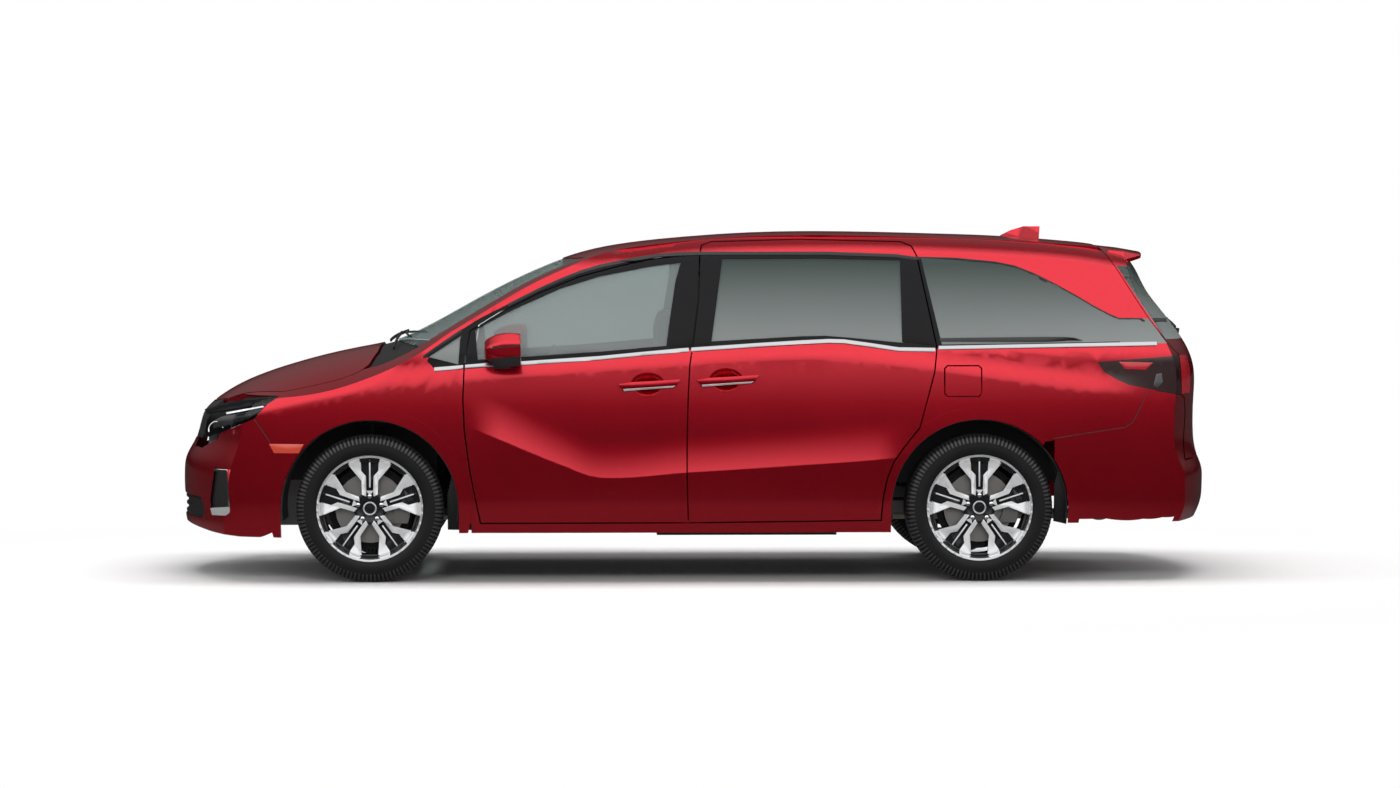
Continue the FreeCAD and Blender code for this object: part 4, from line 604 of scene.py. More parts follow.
world = bpy.data.worlds.new("studioLight")
bpy.context.scene.world = world
world.use_nodes = True
worldTree = world.node_tree
worldTree.nodes.clear()
worldOut = worldTree.nodes.new("ShaderNodeOutputWorld")
lightSky = worldTree.nodes.new("ShaderNodeBackground")
lightSky.inputs["Strength"].default_value = studio["world"]
shownSky = worldTree.nodes.new("ShaderNodeBackground")
shownSky.inputs["Strength"].default_value = studio["back"]
shownSky.inputs["Color"].default_value = (1, 1, 1, 1)
rays = worldTree.nodes.new("ShaderNodeLightPath")
choice = worldTree.nodes.new("ShaderNodeMixShader")
seen = worldTree.nodes.new("ShaderNodeMath")
seen.operation = "MAXIMUM"
worldTree.links.new(rays.outputs["Is Camera Ray"], seen.inputs[0])
worldTree.links.new(rays.outputs["Is Transmission Ray"], seen.inputs[1])
worldTree.links.new(seen.outputs[0], choice.inputs[0])
heading = worldTree.nodes.new("ShaderNodeTexCoord")
headingParts = worldTree.nodes.new("ShaderNodeSeparateXYZ")
worldTree.links.new(heading.outputs["Generated"], headingParts.inputs[0])
dome = worldTree.nodes.new("ShaderNodeValToRGB")
while len(dome.color_ramp.elements) < len(studio["gloss"]):
    dome.color_ramp.elements.new(0.5)
for element, (height, level) in zip(dome.color_ramp.elements, studio["gloss"]):
    element.position = height
    element.color = (level, level, level, 1)
worldTree.links.new(headingParts.outputs["Z"], dome.inputs[0])
glossSky = worldTree.nodes.new("ShaderNodeBackground")
worldTree.links.new(dome.outputs[0], glossSky.inputs["Color"])
farSide = worldTree.nodes.new("ShaderNodeMapRange")
for key, value in (("From Min", -0.1), ("From Max", 0.5), ("To Min", studio["skyGloss"]),
                   ("To Max", studio["farGloss"] * studio["skyGloss"])):
    farSide.inputs[key].default_value = value
worldTree.links.new(headingParts.outputs["Y"], farSide.inputs["Value"])
worldTree.links.new(farSide.outputs[0], glossSky.inputs["Strength"])
glossChoice = worldTree.nodes.new("ShaderNodeMixShader")
worldTree.links.new(rays.outputs["Is Glossy Ray"], glossChoice.inputs[0])
worldTree.links.new(lightSky.outputs[0], glossChoice.inputs[1])
worldTree.links.new(glossSky.outputs[0], glossChoice.inputs[2])
worldTree.links.new(glossChoice.outputs[0], choice.inputs[1])
worldTree.links.new(shownSky.outputs[0], choice.inputs[2])
worldTree.links.new(choice.outputs[0], worldOut.inputs["Surface"])
bpy.context.scene.view_settings.view_transform = "Standard"

softLights = [
    {"name": "roofSoftbox", "place": (0, 0, 7.0), "aim": (0, 0, 0), "size": (9.0, 3.2), "power": 800},
    {"name": "leftSoftbox", "place": (-1.0, -9.0, 5.2), "aim": (0, 0, 0.8), "size": (10.0, 2.4), "power": 300},
    {"name": "rightSoftbox", "place": (1.0, 9.0, 5.2), "aim": (0, 0, 0.8), "size": (10.0, 2.4), "power": 240},
    {"name": "noseSoftbox", "place": (-9.5, -2.0, 4.0), "aim": (0, 0, 0.8), "size": (5.0, 2.4), "power": 120},
    {"name": "tailSoftbox", "place": (9.5, 2.0, 4.0), "aim": (0, 0, 0.8), "size": (5.0, 2.4), "power": 120}]
for light in softLights:
    bpy.ops.object.light_add(type="AREA", location=light["place"])
    lamp = bpy.context.object
    lamp.name = light["name"]
    lamp.data.shape = "RECTANGLE"
    lamp.data.size, lamp.data.size_y = light["size"]
    lamp.data.energy = light["power"]
    lamp.visible_glossy = False
    lamp.rotation_euler = (Vector(light["aim"]) - Vector(light["place"])).to_track_quat("-Z", "Y").to_euler()


# Painted panels.

print("painted panels")


belt = {"line": [(-1330, 1054), (-1043, 1077), (-858, 1086), (-486, 1111), (-290, 1130), (-94, 1148), (4, 1155),
                 (298, 1175), (493, 1187), (640, 1194), (714, 1192), (836, 1175), (983, 1153), (1164, 1150),
                 (1178, 1160), (2330, 1180)], "strip": 20.0}
glassTop = [(-1352, 1111), (-1269, 1170), (-1176, 1233), (-1073, 1297), (-975, 1346), (-877, 1395), (-779, 1444),
            (-681, 1488), (-583, 1527), (-486, 1556), (-388, 1576), (-290, 1595), (-192, 1610), (-94, 1617),
            (4, 1620), (640, 1620), (983, 1608), (1071, 1595), (1276, 1590), (1472, 1571), (1570, 1551),
            (1668, 1512), (1766, 1463), (1864, 1409), (1961, 1351), (2035, 1312), (2084, 1292), (2330, 1290)]
beltHeight = {"at": [a for a, _ in belt["line"]], "is": [b for _, b in belt["line"]]}
beltMiddle = [(a, b - belt["strip"] / 2) for a, b in belt["line"]]
topHeight = {"at": [a for a, _ in glassTop], "is": [b for _, b in glassTop]}


def cutWithin(piece, x0, x1, z0, z1, spot, way):
    # one plane cuts the faces that reach into a box of x and z
    points = vertexPlaces(piece)
    mesh = piece.data
    corner = np.zeros(len(mesh.loops), int)
    mesh.loops.foreach_get("vertex_index", corner)
    first = np.zeros(len(mesh.polygons), int)
    mesh.polygons.foreach_get("loop_start", first)
    low, high = np.minimum.reduceat(points[corner], first), np.maximum.reduceat(points[corner], first)
    flags = (high[:, 0] > x0) & (low[:, 0] < x1) & (high[:, 2] > z0) & (low[:, 2] < z1)
    if flags.any():
        chooseThese(piece, flags)
        bpy.ops.mesh.bisect(plane_co=(spot[0] / 1000, 0, spot[1] / 1000),
                            plane_no=Vector((way[0], 0, way[1])).normalized())
        closeEdit()


def cutAlong(piece, line, depth=4.0, reach=30.0):
    # new edges where a line of (x, z), seen from the side, crosses the piece, after upright ones at its corners
    for x, z in line:
        cutWithin(piece, x - 1, x + 1, z - reach, z + reach, (x, z), (1, 0))
    for (x0, z0), (x1, z1) in zip(line, line[1:]):
        low, high = min(z0, z1) - depth, max(z0, z1) + depth
        cutWithin(piece, x0 + 1, x1 - 1, low, high, (x0, z0), (z1 - z0, x0 - x1))


def inWindows(centre):
    x, z = centre.x * 1000, centre.z * 1000
    inside = beltHeight["at"][0] < x < topHeight["at"][-1]
    floor = np.interp(x, beltHeight["at"], beltHeight["is"]) - belt["strip"] / 2
    return inside and floor < z < np.interp(x, topHeight["at"], topHeight["is"]) and abs(centre.y) > 0.5


scoop = {"x": (-1100.0, 1120.0), "z": (285.0, 1010.0), "stepX": 60.0, "stepZ": 30.0, "fine": 7.0, "near": 9.0,
         "depth": 20.0}


def scoopDoor(skin):
    # the door's outer face is divided finely and laid on the drawn flank
    mesh = skin.data
    points = vertexPlaces(skin)
    gap = np.abs(np.abs(points[:, 1]) - flankOut(points[:, 0], points[:, 2]))
    limit = scoop["near"] + scoop["depth"] * waistShare(points[:, 0])

    def onSkin(face):
        outwards = face.normal.y * np.sign(face.center.y) > 0.75
        height = face.center.z * 1000
        return outwards and scoop["z"][0] - 30 < height < scoop["z"][1] + 40 and (gap[list(face.vertices)]
                                                                                 < limit[list(face.vertices)]).all()
    chooseThese(skin, [onSkin(face) for face in mesh.polygons])
    bpy.ops.mesh.hide(unselected=True)
    cuts = [((x, 0, 0), (1, 0, 0)) for x in np.arange(scoop["x"][0], scoop["x"][1], scoop["stepX"])]
    cuts += [((0, 0, z), (0, 0, 1)) for z in np.arange(scoop["z"][0], scoop["z"][1], scoop["stepZ"])]
    waist = [(x, float(waistLine(x))) for x in np.arange(scoop["x"][0], scoop["x"][1], 4 * scoop["stepX"])]
    for rise in (-scoop["fine"], 0.0, scoop["fine"]):
        for (x0, z0), (x1, z1) in zip(waist, waist[1:]):
            cuts.append(((x0, 0, z0 + rise), (z1 - z0, 0, x0 - x1)))
    for spot, way in cuts:
        bpy.ops.mesh.select_all(action="SELECT")
        bpy.ops.mesh.bisect(plane_co=[c / 1000 for c in spot], plane_no=Vector(way).normalized())
    bpy.ops.mesh.select_all(action="SELECT")
    bpy.ops.object.mode_set(mode="OBJECT")
    for vertex in mesh.vertices:
        if not vertex.hide and vertex.select:
            x, z = vertex.co.x * 1000, vertex.co.z * 1000
            vertex.co.y = math.copysign(float(flankOut(x, z)) / 1000, vertex.co.y)
    bpy.ops.object.mode_set(mode="EDIT")
    bpy.ops.mesh.reveal(select=False)
    bpy.ops.object.mode_set(mode="OBJECT")


handle = {"front": (-245, 969), "slide": (140, 990), "bowl": (84, 27, 60),
          "cover": [(-153, 4), (-81, 15), (156, 28), (130, -6), (114, -12), (-122, -29)],
          "strip": [(-128, -20), (128, -4), (114, -12), (-122, -29)]}


def pressBowl(skin, spot):
    # an oval hollow behind the handle
    x, z = spot[0] - 7, spot[1] + 2
    side = 1 if skin.data.vertices[0].co.y > 0 else -1
    bpy.ops.object.select_all(action="DESELECT")
    bpy.ops.mesh.primitive_uv_sphere_add(segments=40, ring_count=20, radius=1, scale=[c / 1000 for c in handle["bowl"]],
                                         location=(x / 1000, side * float(flankOut(x, z)) / 1000, z / 1000))
    ball = placeInMesh(bpy.context.object)
    hollow = addModifier(skin, "BOOLEAN", operation="DIFFERENCE", solver="EXACT", use_self=True)
    hollow.object = ball
    applyAll(skin)
    bpy.data.objects.remove(ball)


def panel(nodeName, name, body, outer, lining=None, isLining=None, angle=28, asDrawn=True, surround=(),
          scooped=False, bowl=None):
    skin = mergedCopy(nodeName, name)
    for line in surround:
        cutAlong(skin, line)
    if scooped:
        scoopDoor(skin)
    if bowl:
        pressBowl(skin, bowl)
    paintOver(skin, outer)
    if lining:
        skin.data.materials.append(lining)
        for face in skin.data.polygons:
            face.material_index = 1 if isLining(face.center, face.normal) else 0
    if surround:
        skin.data.materials.append(blackGloss)
        skin.data.materials.append(tintedGlass)
        for face in skin.data.polygons:
            if face.material_index == 0 and inWindows(face.center):
                face.material_index = 3 if face.center.x > 2.08 else 2
    shadeSmooth(skin, angle)
    if asDrawn:
        shadeAsDrawn(skin)
    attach(skin, body)
    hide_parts(nodeName)
    return skin


def insideDoor(centre, normal):
    towards = normal.y if centre.y < 0 else -normal.y
    return towards > 0.25 and abs(centre.y) < 0.93


def underRoof(centre, normal):
    return normal.z < -0.2


for side, sign in sides.items():
    panel("front_door_" + side, "frontDoorPanel_" + side, "front_door_%s_leaf" % side, paintRed,
          cabinPlastic, insideDoor, surround=(beltMiddle, glassTop), scooped=True, bowl=handle["front"])
    panel("sliding_door_" + side, "slidingDoorPanel_" + side, "body", paintRed, cabinPlastic, insideDoor,
          surround=(beltMiddle, glassTop), scooped=True, bowl=handle["slide"])
    panel("body_side_" + side, "bodySidePanel_" + side, "body", paintRed, cabinPlastic, insideDoor,
          surround=(beltMiddle, glassTop))
    panel("front_door_handle_" + side, "frontHandle_" + side, "front_door_%s_leaf" % side, paintRed,
          angle=60, asDrawn=False)
    panel("door_mirror_" + side, "mirrorCase_" + side, "front_door_%s_leaf" % side, paintRed,
          angle=60, asDrawn=False)
panel("sliding_door_handles", "slidingHandles", "body", paintRed, angle=60, asDrawn=False)
panel("fenders", "fenderPanels", "body", paintRed)
panel("front_bumper", "frontBumperPanel", "body", paintRed)
panel("rear_bumper", "rearBumperPanel", "body", paintRed)
panel("hood", "hoodPanel", "hood_lid", paintRed)
panel("roof", "roofPanel", "body", paintRed, cabinPale, underRoof)
panel("tailgate", "tailgatePanel", "tailgate_lid", paintRed)
panel("fuel_door", "fuelDoorPanel", "fuel_lid", paintRed)
panel("cowl", "cowlPanel", "body", cowlBlack)
panel("windscreen", "screenPane", "body", screenGlass, asDrawn=False)
panel("tailgate_glass", "tailgatePane", "tailgate_lid", tintedGlass, asDrawn=False)
panel("quarter_glass", "quarterPanes", "body", tintedGlass)
panel("sliding_door_glass", "slidingPanes", "body", tintedGlass)
for side in sides:
    panel("front_door_glass_" + side, "doorPane_" + side, "front_door_%s_leaf" % side, doorGlass)

print("wheels and tyres")
wheel = {"out": 0.855, "hub": 0.362, "front": -1.616, "rear": 1.384, "face": 0.088, "panel": 0.081, "tyre": 0.362,
         "half": 0.1175, "rim": 0.2613, "steps": 216, "bar": (0.103, 0.243), "barWidth": 0.0075, "lugs": 0.060}
spokeTurns = [math.radians(a) for a in (90, 162, 234, 306, 18)]


def wheelPlace(corner):
    end, side = corner.split("_")
    turn = Matrix.Rotation(math.pi if side == "left" else 0, 4, "Z")
    return Matrix.Translation((wheel[end], wheel["out"] * sides[side], wheel["hub"])) @ turn


def paintWheel(rim, corner):
    back = wheelPlace(corner).inverted()
    for material in (wheelBlack, machined, silverPaint):
        rim.data.materials.append(material)
    for face in rim.data.polygons:
        centre, normal = back @ face.center, back.to_3x3() @ face.normal
        out = math.hypot(centre.x, centre.z)
        turn = math.degrees(math.atan2(centre.z, centre.x)) - 90
        aside = abs((turn + 36) % 72 - 36)
        if out > 0.251 and centre.y > 0.06:
            face.material_index = 2
        elif out > 0.2255 and centre.y > 0.06:
            face.material_index = 1 if 11.2 < aside < 25.4 else 0
        elif normal.y > 0.55 and centre.y > wheel["face"] - 0.0035 and out > 0.074:
            face.material_index = 1
        else:
            face.material_index = 0


for corner in corners:
    rim = mergedCopy("wheel_" + corner, "wheelRim_" + corner)
    paintWheel(rim, corner)
    shadeSmooth(rim, 25)
    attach(rim, "wheel_%s_set" % corner)
    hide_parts("wheel_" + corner)

# the silver bar in each sunk spoke, a wheel nut in each pocket, and a plain cap
low, high = wheel["bar"]
bpy.ops.object.select_all(action="DESELECT")
bpy.ops.mesh.primitive_cube_add(size=1, location=(0, wheel["panel"] + 0.0015, (low + high) / 2),
                                scale=(wheel["barWidth"], 0.007, high - low))
bar = placeInMesh(bpy.context.object)
addModifier(bar, "BEVEL", width=0.0022, segments=2)
applyAll(bar)
bars = []
for turn in spokeTurns:
    copyBar = copyMesh(bar, "bar")
    copyBar.data.transform(Matrix.Rotation(math.pi / 2 - turn, 4, "Y"))
    bars.append(copyBar)
bpy.data.objects.remove(bar)
spokeBars = joinPieces(bars, "spokeBars")
paintOver(spokeBars, machined)
shadeSmooth(spokeBars, 40)
bpy.ops.mesh.primitive_cylinder_add(vertices=6, radius=0.0115, depth=0.03, location=(0, 0.083, wheel["lugs"]),
                                    rotation=(math.pi / 2, 0, 0))
nut = placeInMesh(bpy.context.object)
chooseFaces(nut, lambda centre, normal: normal.y > 0.9)
bpy.ops.mesh.inset(thickness=0.0025, depth=0.0015)
bpy.ops.mesh.inset(thickness=0.004, depth=0.003)
closeEdit()
addModifier(nut, "BEVEL", width=0.0012, segments=2)
applyAll(nut)
nuts = []
for turn in spokeTurns:
    copyNut = copyMesh(nut, "nut")
    copyNut.data.transform(Matrix.Rotation(math.pi / 2 - turn, 4, "Y"))
    nuts.append(copyNut)
bpy.data.objects.remove(nut)
wheelNuts = joinPieces(nuts, "wheelNuts")
paintOver(wheelNuts, chrome)
shadeSmooth(wheelNuts, 40)
bpy.ops.mesh.primitive_cylinder_add(vertices=64, radius=0.0335, depth=0.016, location=(0, 0.080, 0),
                                    rotation=(math.pi / 2, 0, 0))
cap = placeInMesh(bpy.context.object)
chooseFaces(cap, lambda centre, normal: normal.y > 0.9)
bpy.ops.mesh.inset(thickness=0.004, depth=0.003)
bpy.ops.mesh.inset(thickness=0.003, depth=-0.0015)
bpy.ops.mesh.inset(thickness=0.010, depth=0.0012)
closeEdit()
paintOver(cap, wheelBlack)
cap.data.materials.append(silverPaint)
for face in cap.data.polygons:
    out = math.hypot(face.center.x, face.center.z)
    face.material_index = 1 if face.normal.y > 0.1 and 0.0262 < out < 0.0334 else 0
shadeSmooth(cap, 50)
for corner in corners:
    for master, slot in ((spokeBars, "wheel_alloy"), (wheelNuts, "wheel_alloy"), (cap, "wheel_alloy")):
        piece = copyMesh(master, "%s_%s" % (master.name if master != cap else "wheelCap", corner))
        piece.data.transform(wheelPlace(corner))
        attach(piece, "wheel_%s_set" % corner)
for master in (spokeBars, wheelNuts, cap):
    bpy.data.objects.remove(master)

# a thin splash plate behind each disc, fixed to what carries the wheel, closes the view through the spokes
shield = {"radius": 0.207, "thick": 0.002, "out": -0.005}
for corner in corners:
    bpy.ops.object.select_all(action="DESELECT")
    bpy.ops.mesh.primitive_cylinder_add(vertices=96, radius=shield["radius"], depth=shield["thick"],
                                        location=(0, shield["out"], 0), rotation=(math.pi / 2, 0, 0))
    plate = placeInMesh(bpy.context.object)
    plate.name = "splashPlate_" + corner
    plate.data.transform(wheelPlace(corner))
    paintOver(plate, wheelBlack)
    shadeSmooth(plate, 40)
    end, side = corner.split("_")
    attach(plate, "knuckle_%s_hub" % side if end == "front" else "body")

# tyre: its section spun round the axle, sipes pressed into both shoulders
section = [(-0.098, 0.2614), (-0.107, 0.2625), (-0.113, 0.270), (-0.1172, 0.288), (-0.1174, 0.305), (-0.1168, 0.309),
           (-0.1165, 0.322), (-0.1135, 0.335), (-0.1080, 0.3465), (-0.1000, 0.3552), (-0.088, 0.3605), (-0.076, 0.3612),
           (-0.074, 0.3545), (-0.066, 0.3545), (-0.064, 0.3616), (-0.030, 0.3620), (-0.028, 0.3545), (-0.018, 0.3545),
           (-0.016, 0.3620)]
section = section + [(-a, b) for a, b in reversed(section)]
bpy.ops.object.select_all(action="DESELECT")
bpy.ops.mesh.primitive_circle_add(vertices=len(section), radius=1, fill_type="NOTHING")
tyre = bpy.context.object
for vertex, (across, out) in zip(tyre.data.vertices, section):
    vertex.co = (0, across, out)
editAll(tyre, "VERT")
bpy.ops.mesh.spin(steps=wheel["steps"], angle=2 * math.pi, center=(0, 0, 0), axis=(0, 1, 0))
bpy.ops.mesh.select_all(action="SELECT")
bpy.ops.mesh.remove_doubles(threshold=0.00002)
bpy.ops.mesh.normals_make_consistent(inside=False)
closeEdit()
segment = 2 * math.pi / wheel["steps"]


def inTread(centre):
    return abs(centre.y) > 0.078 and 0.322 < math.hypot(centre.x, centre.z) < 0.3612


def inSipe(centre, normal):
    turn = int(math.floor((math.atan2(centre.z, centre.x) + math.pi) / segment + 0.01))
    return turn % 2 == 0 and inTread(centre)


chooseFaces(tyre, inSipe)
bpy.ops.mesh.inset(thickness=0.0006, depth=-0.0055)
closeEdit()
paintOver(tyre, tyreRubber)
# the lug tops take the paler rubber, a painted highlight; the sipes and the sidewall keep the dark rubber
tyre.data.materials.append(treadRubber)
for face in tyre.data.polygons:
    if inTread(face.center) and not inSipe(face.center, face.normal):
        face.material_index = 1
shadeSmooth(tyre, 30)
for corner in corners:
    piece = copyMesh(tyre, "treadedTyre_" + corner)
    piece.data.transform(wheelPlace(corner))
    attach(piece, "wheel_%s_set" % corner)
    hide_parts("tyre_" + corner)
bpy.data.objects.remove(tyre)

print("trim on the flanks")
flankNodes = ["body_side_left", "front_door_left", "sliding_door_left", "fenders", "front_bumper", "rear_bumper",
              "tail_lamps", "headlamps"]
flankPoints, flankFaces = [], []
for nodeName in flankNodes:
    mesh = nodes[nodeName].data
    flankFaces += [[len(flankPoints) + i for i in face.vertices] for face in mesh.polygons]
    flankPoints += [vertex.co.copy() for vertex in mesh.vertices]
flankTree = BVHTree.FromPolygons(flankPoints, flankFaces)


def skinOut(x, z):
    # distance out of the left flank as it is built, or as it is drawn where a gap lies there
    drawn = float(flankOut(x, z))
    spot = flankTree.ray_cast(Vector((x / 1000, -1.3, z / 1000)), Vector((0, 1, 0)))[0]
    return -spot.y * 1000 if spot and abs(-spot.y * 1000 - drawn) < 14 else drawn


def skinPlate(name, outline, material, lift=3.0, depth=4.0, cell=90.0, bevel=0.8):
    # a thin piece that follows the left flank inside an outline of (x, z), in millimetres
    bpy.ops.object.select_all(action="DESELECT")
    bpy.ops.mesh.primitive_circle_add(vertices=len(outline), radius=1.0, fill_type="NGON")
    plate = bpy.context.object
    plate.name = name
    for vertex, (x, z) in zip(plate.data.vertices, outline):
        vertex.co = (x / 1000, 0, z / 1000)
    for axis in (0, 1):
        reach = [point[axis] for point in outline]
        for step in np.arange(min(reach) + cell, max(reach) - 1, cell):
            editAll(plate)
            spot = (step / 1000, 0, 0) if axis == 0 else (0, 0, step / 1000)
            bpy.ops.mesh.bisect(plane_co=spot, plane_no=(1 - axis, 0, axis))
            closeEdit()
    for vertex in plate.data.vertices:
        vertex.co.y = -(skinOut(vertex.co.x * 1000, vertex.co.z * 1000) + lift) / 1000
    plate.data.update()
    if plate.data.polygons[0].normal.y > 0:
        plate.data.flip_normals()
    addModifier(plate, "SOLIDIFY", thickness=depth / 1000, offset=-1)
    addModifier(plate, "BEVEL", width=bevel / 1000, segments=2, limit_method="ANGLE")
    applyAll(plate)
    paintOver(plate, material)
    shadeSmooth(plate, 40)
    return plate


def onBothSides(piece, body):
    stem = piece.name
    twin = mirrorAcross(piece, stem + "_right")
    piece.name = stem + "_left"
    for part, side in ((piece, "left"), (twin, "right")):
        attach(part, body.replace("SIDE", side))


def beltStrip(x0, x1):
    places = [x0] + [x for x, _ in belt["line"] if x0 < x < x1] + [x1]
    upper = [(x, float(np.interp(x, beltHeight["at"], beltHeight["is"]))) for x in places]
    return upper + [(x, z - belt["strip"]) for x, z in reversed(upper)]


for name, x0, x1, body in (("beltChromeTip", -1298, -1155, "body"),
                           ("beltChromeDoor", -1147, -50, "front_door_SIDE_leaf"),
                           ("beltChromeSlide", -38, 1163, "body"), ("beltChromeQuarter", 1179, 2270, "body")):
    strip = skinPlate(name, beltStrip(x0, x1), beltChrome, lift=4.5, depth=9.0, cell=40, bevel=1.8)
    onBothSides(strip, body)

sealLine = [(x, z + 3) for x, z in glassTop] + [(x, z - 13) for x, z in reversed(glassTop)]
onBothSides(skinPlate("windowSeal", sealLine, sealRubber, lift=2.5, depth=6.0, cell=60, bevel=1.0), "body")
for stem, spot, body in (("frontHandle", handle["front"], "front_door_SIDE_leaf"),
                         ("slideHandle", handle["slide"], "body")):
    for part, material, lift, depth in (("Cover", paintRed, 31.0, 28.0), ("Strip", silverPaint, 32.5, 20.0)):
        outline = [(spot[0] + dx, spot[1] + dz) for dx, dz in handle[part.lower()]]
        plate = skinPlate(stem + part, outline, material, lift=lift, depth=depth, cell=5000,
                          bevel=3.0 if part == "Cover" else 1.2)
        onBothSides(plate, body)


def ribbon(line, width):
    # an outline this wide along a line of (x, z)
    sides = ([], [])
    for i, (x, z) in enumerate(line):
        before, after = line[max(0, i - 1)], line[min(len(line) - 1, i + 1)]
        way = Vector((after[0] - before[0], after[1] - before[1])).normalized() * width / 2
        sides[0].append((x - way.y, z + way.x))
        sides[1].append((x + way.y, z - way.x))
    return sides[0] + sides[1][::-1]


# thin dark strips along the bumper seams: painted shade in the gaps between the panels
seamShadeLines = {"rearBumperSeam": [(2222, 936), (2169, 831), (2144, 783), (2104, 756), (1980, 739), (1840, 718), (1706, 696)],
         "frontBumperSeam": [(-2183, 801), (-2104, 690)]}
for name, line in seamShadeLines.items():
    onBothSides(skinPlate(name, ribbon(line, 4.0), sealRubber, lift=0.4, depth=2.0, cell=60, bevel=0.2), "body")
coverB = [(-146, 1158), (-36, 1158), (-34, 1165), (-6, 1385), (1, 1598), (-72, 1586), (-104, 1480), (-132, 1290)]
coverSlideB = [(-24, 1168), (60, 1166), (104, 1588), (16, 1600), (6, 1385)]
coverC = [(1000, 1178), (1158, 1163), (1077, 1588), (1000, 1590)]
onBothSides(skinPlate("pillarCoverFront", coverB, blackGloss, lift=2.0), "front_door_SIDE_leaf")
onBothSides(skinPlate("pillarCoverSlide", coverSlideB, blackGloss, lift=2.0), "body")
onBothSides(skinPlate("pillarCoverRear", coverC, blackGloss, lift=2.0), "body")
railCover = [(1186, 1181), (1186, 1198), (1700, 1203), (1800, 1202), (1850, 1197), (1905, 1182)]
onBothSides(skinPlate("slideRailCover", railCover, blackSatin, lift=4.0, depth=7.0), "body")
marker = [(-2108, 681), (-1936, 681), (-1960, 636), (-2083, 636)]
onBothSides(skinPlate("sideMarker", marker, amberLens, lift=7.0, depth=9.0), "body")
ductFoot = [(-2414, 353), (-2313, 363), (-2313, 335), (-2335, 320), (-2405, 320)]
onBothSides(skinPlate("ductFoot", ductFoot, silverPaint, lift=2.0, depth=14.0), "body")
ductRim = [(-2398, 550), (-2322, 550), (-2310, 366), (-2318, 366), (-2330, 541), (-2392, 541)]
onBothSides(skinPlate("ductRim", ductRim, chrome, lift=3.0, depth=9.0, cell=40), "body")

print("lamps")


def lensCopy(nodeName, name, body, lens, housing, rule):
    skin = mergedCopy(nodeName, name)
    paintOver(skin, lens)
    skin.data.materials.append(housing)
    for face in skin.data.polygons:
        face.material_index = 0 if rule(face.center, face.normal) else 1
    shadeSmooth(skin, 28)
    shadeAsDrawn(skin)
    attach(skin, body)
    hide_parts(nodeName)


def outerFace(centre, normal):
    spot = np.array([[centre.x * 1000, centre.y * 1000, centre.z * 1000]])
    for distance, facing in (flankFacing(spot), crossFacing(spot)):
        if distance[0] < 9 and float(facing[0] @ np.array(normal)) > 0.8:
            return True
    return False


lensCopy("headlamps", "headlampLenses", "body", lampLens, blackGloss, outerFace)
lensCopy("tail_lamps", "tailLampLenses", "body", smokedRed, smokedRed, outerFace)
lensCopy("tailgate_lamps", "gateLampLenses", "tailgate_lid", lampRed, lampRed, outerFace)
reflector = [(-2400, 785), (-2330, 822), (-2150, 845), (-2215, 800), (-2330, 764), (-2400, 748)]
onBothSides(skinPlate("lampReflector", reflector, lampDark, lift=-60.0, depth=4.0), "body")
lampLine = [(-2330, 832), (-2140, 868), (-2133, 861), (-2325, 822)]
onBothSides(skinPlate("lampLine", lampLine, chrome, lift=-8.0, depth=4.0), "body")
bpy.ops.object.select_all(action="DESELECT")
bpy.ops.mesh.primitive_torus_add(location=(-2.385, -0.745, 0.742), rotation=(math.radians(80), 0, math.radians(-24)),
                                 major_radius=0.040, minor_radius=0.0045, major_segments=48, minor_segments=10)
lampRing = placeInMesh(bpy.context.object)
lampRing.name = "lampRing"
editAll(lampRing)
bpy.ops.mesh.bisect(plane_co=(-2.385, 0, 0.742), plane_no=Vector((-0.30, 0, 1)).normalized(), clear_inner=True,
                    use_fill=True)
closeEdit()
paintOver(lampRing, chrome)
shadeSmooth(lampRing, 60)
onBothSides(lampRing, "body")
tailWedge = [(2074, 1080), (2248, 1075), (2209, 1040), (2104, 1045)]
onBothSides(skinPlate("tailWedge", tailWedge, lampRed, lift=1.6, depth=5.0, cell=30, bevel=0.5), "body")
tailMirror = [(2247, 962), (2262, 1018), (2290, 1022), (2296, 978), (2268, 950)]
onBothSides(skinPlate("tailMirror", tailMirror, wheelGrey, lift=1.6, depth=5.0, cell=30, bevel=0.5), "body")
browBar = [(-2447, 842), (-2308, 884), (-2150, 898), (-2195, 868), (-2432, 824)]
onBothSides(skinPlate("browBar", browBar, blackGloss, lift=5.0, depth=9.0, cell=40), "body")
flaps = {"rearArchFlap": [(1756, 290), (1756, 470), (1800, 640), (1835, 640), (1822, 275)],
         "frontArchFlap": [(-1236, 252), (-1236, 430), (-1205, 560), (-1160, 560), (-1160, 252)]}
for name, outline in flaps.items():
    onBothSides(skinPlate(name, outline, cowlBlack, lift=-60.0, depth=6.0), "body")

print("backing of the nose's mouths")


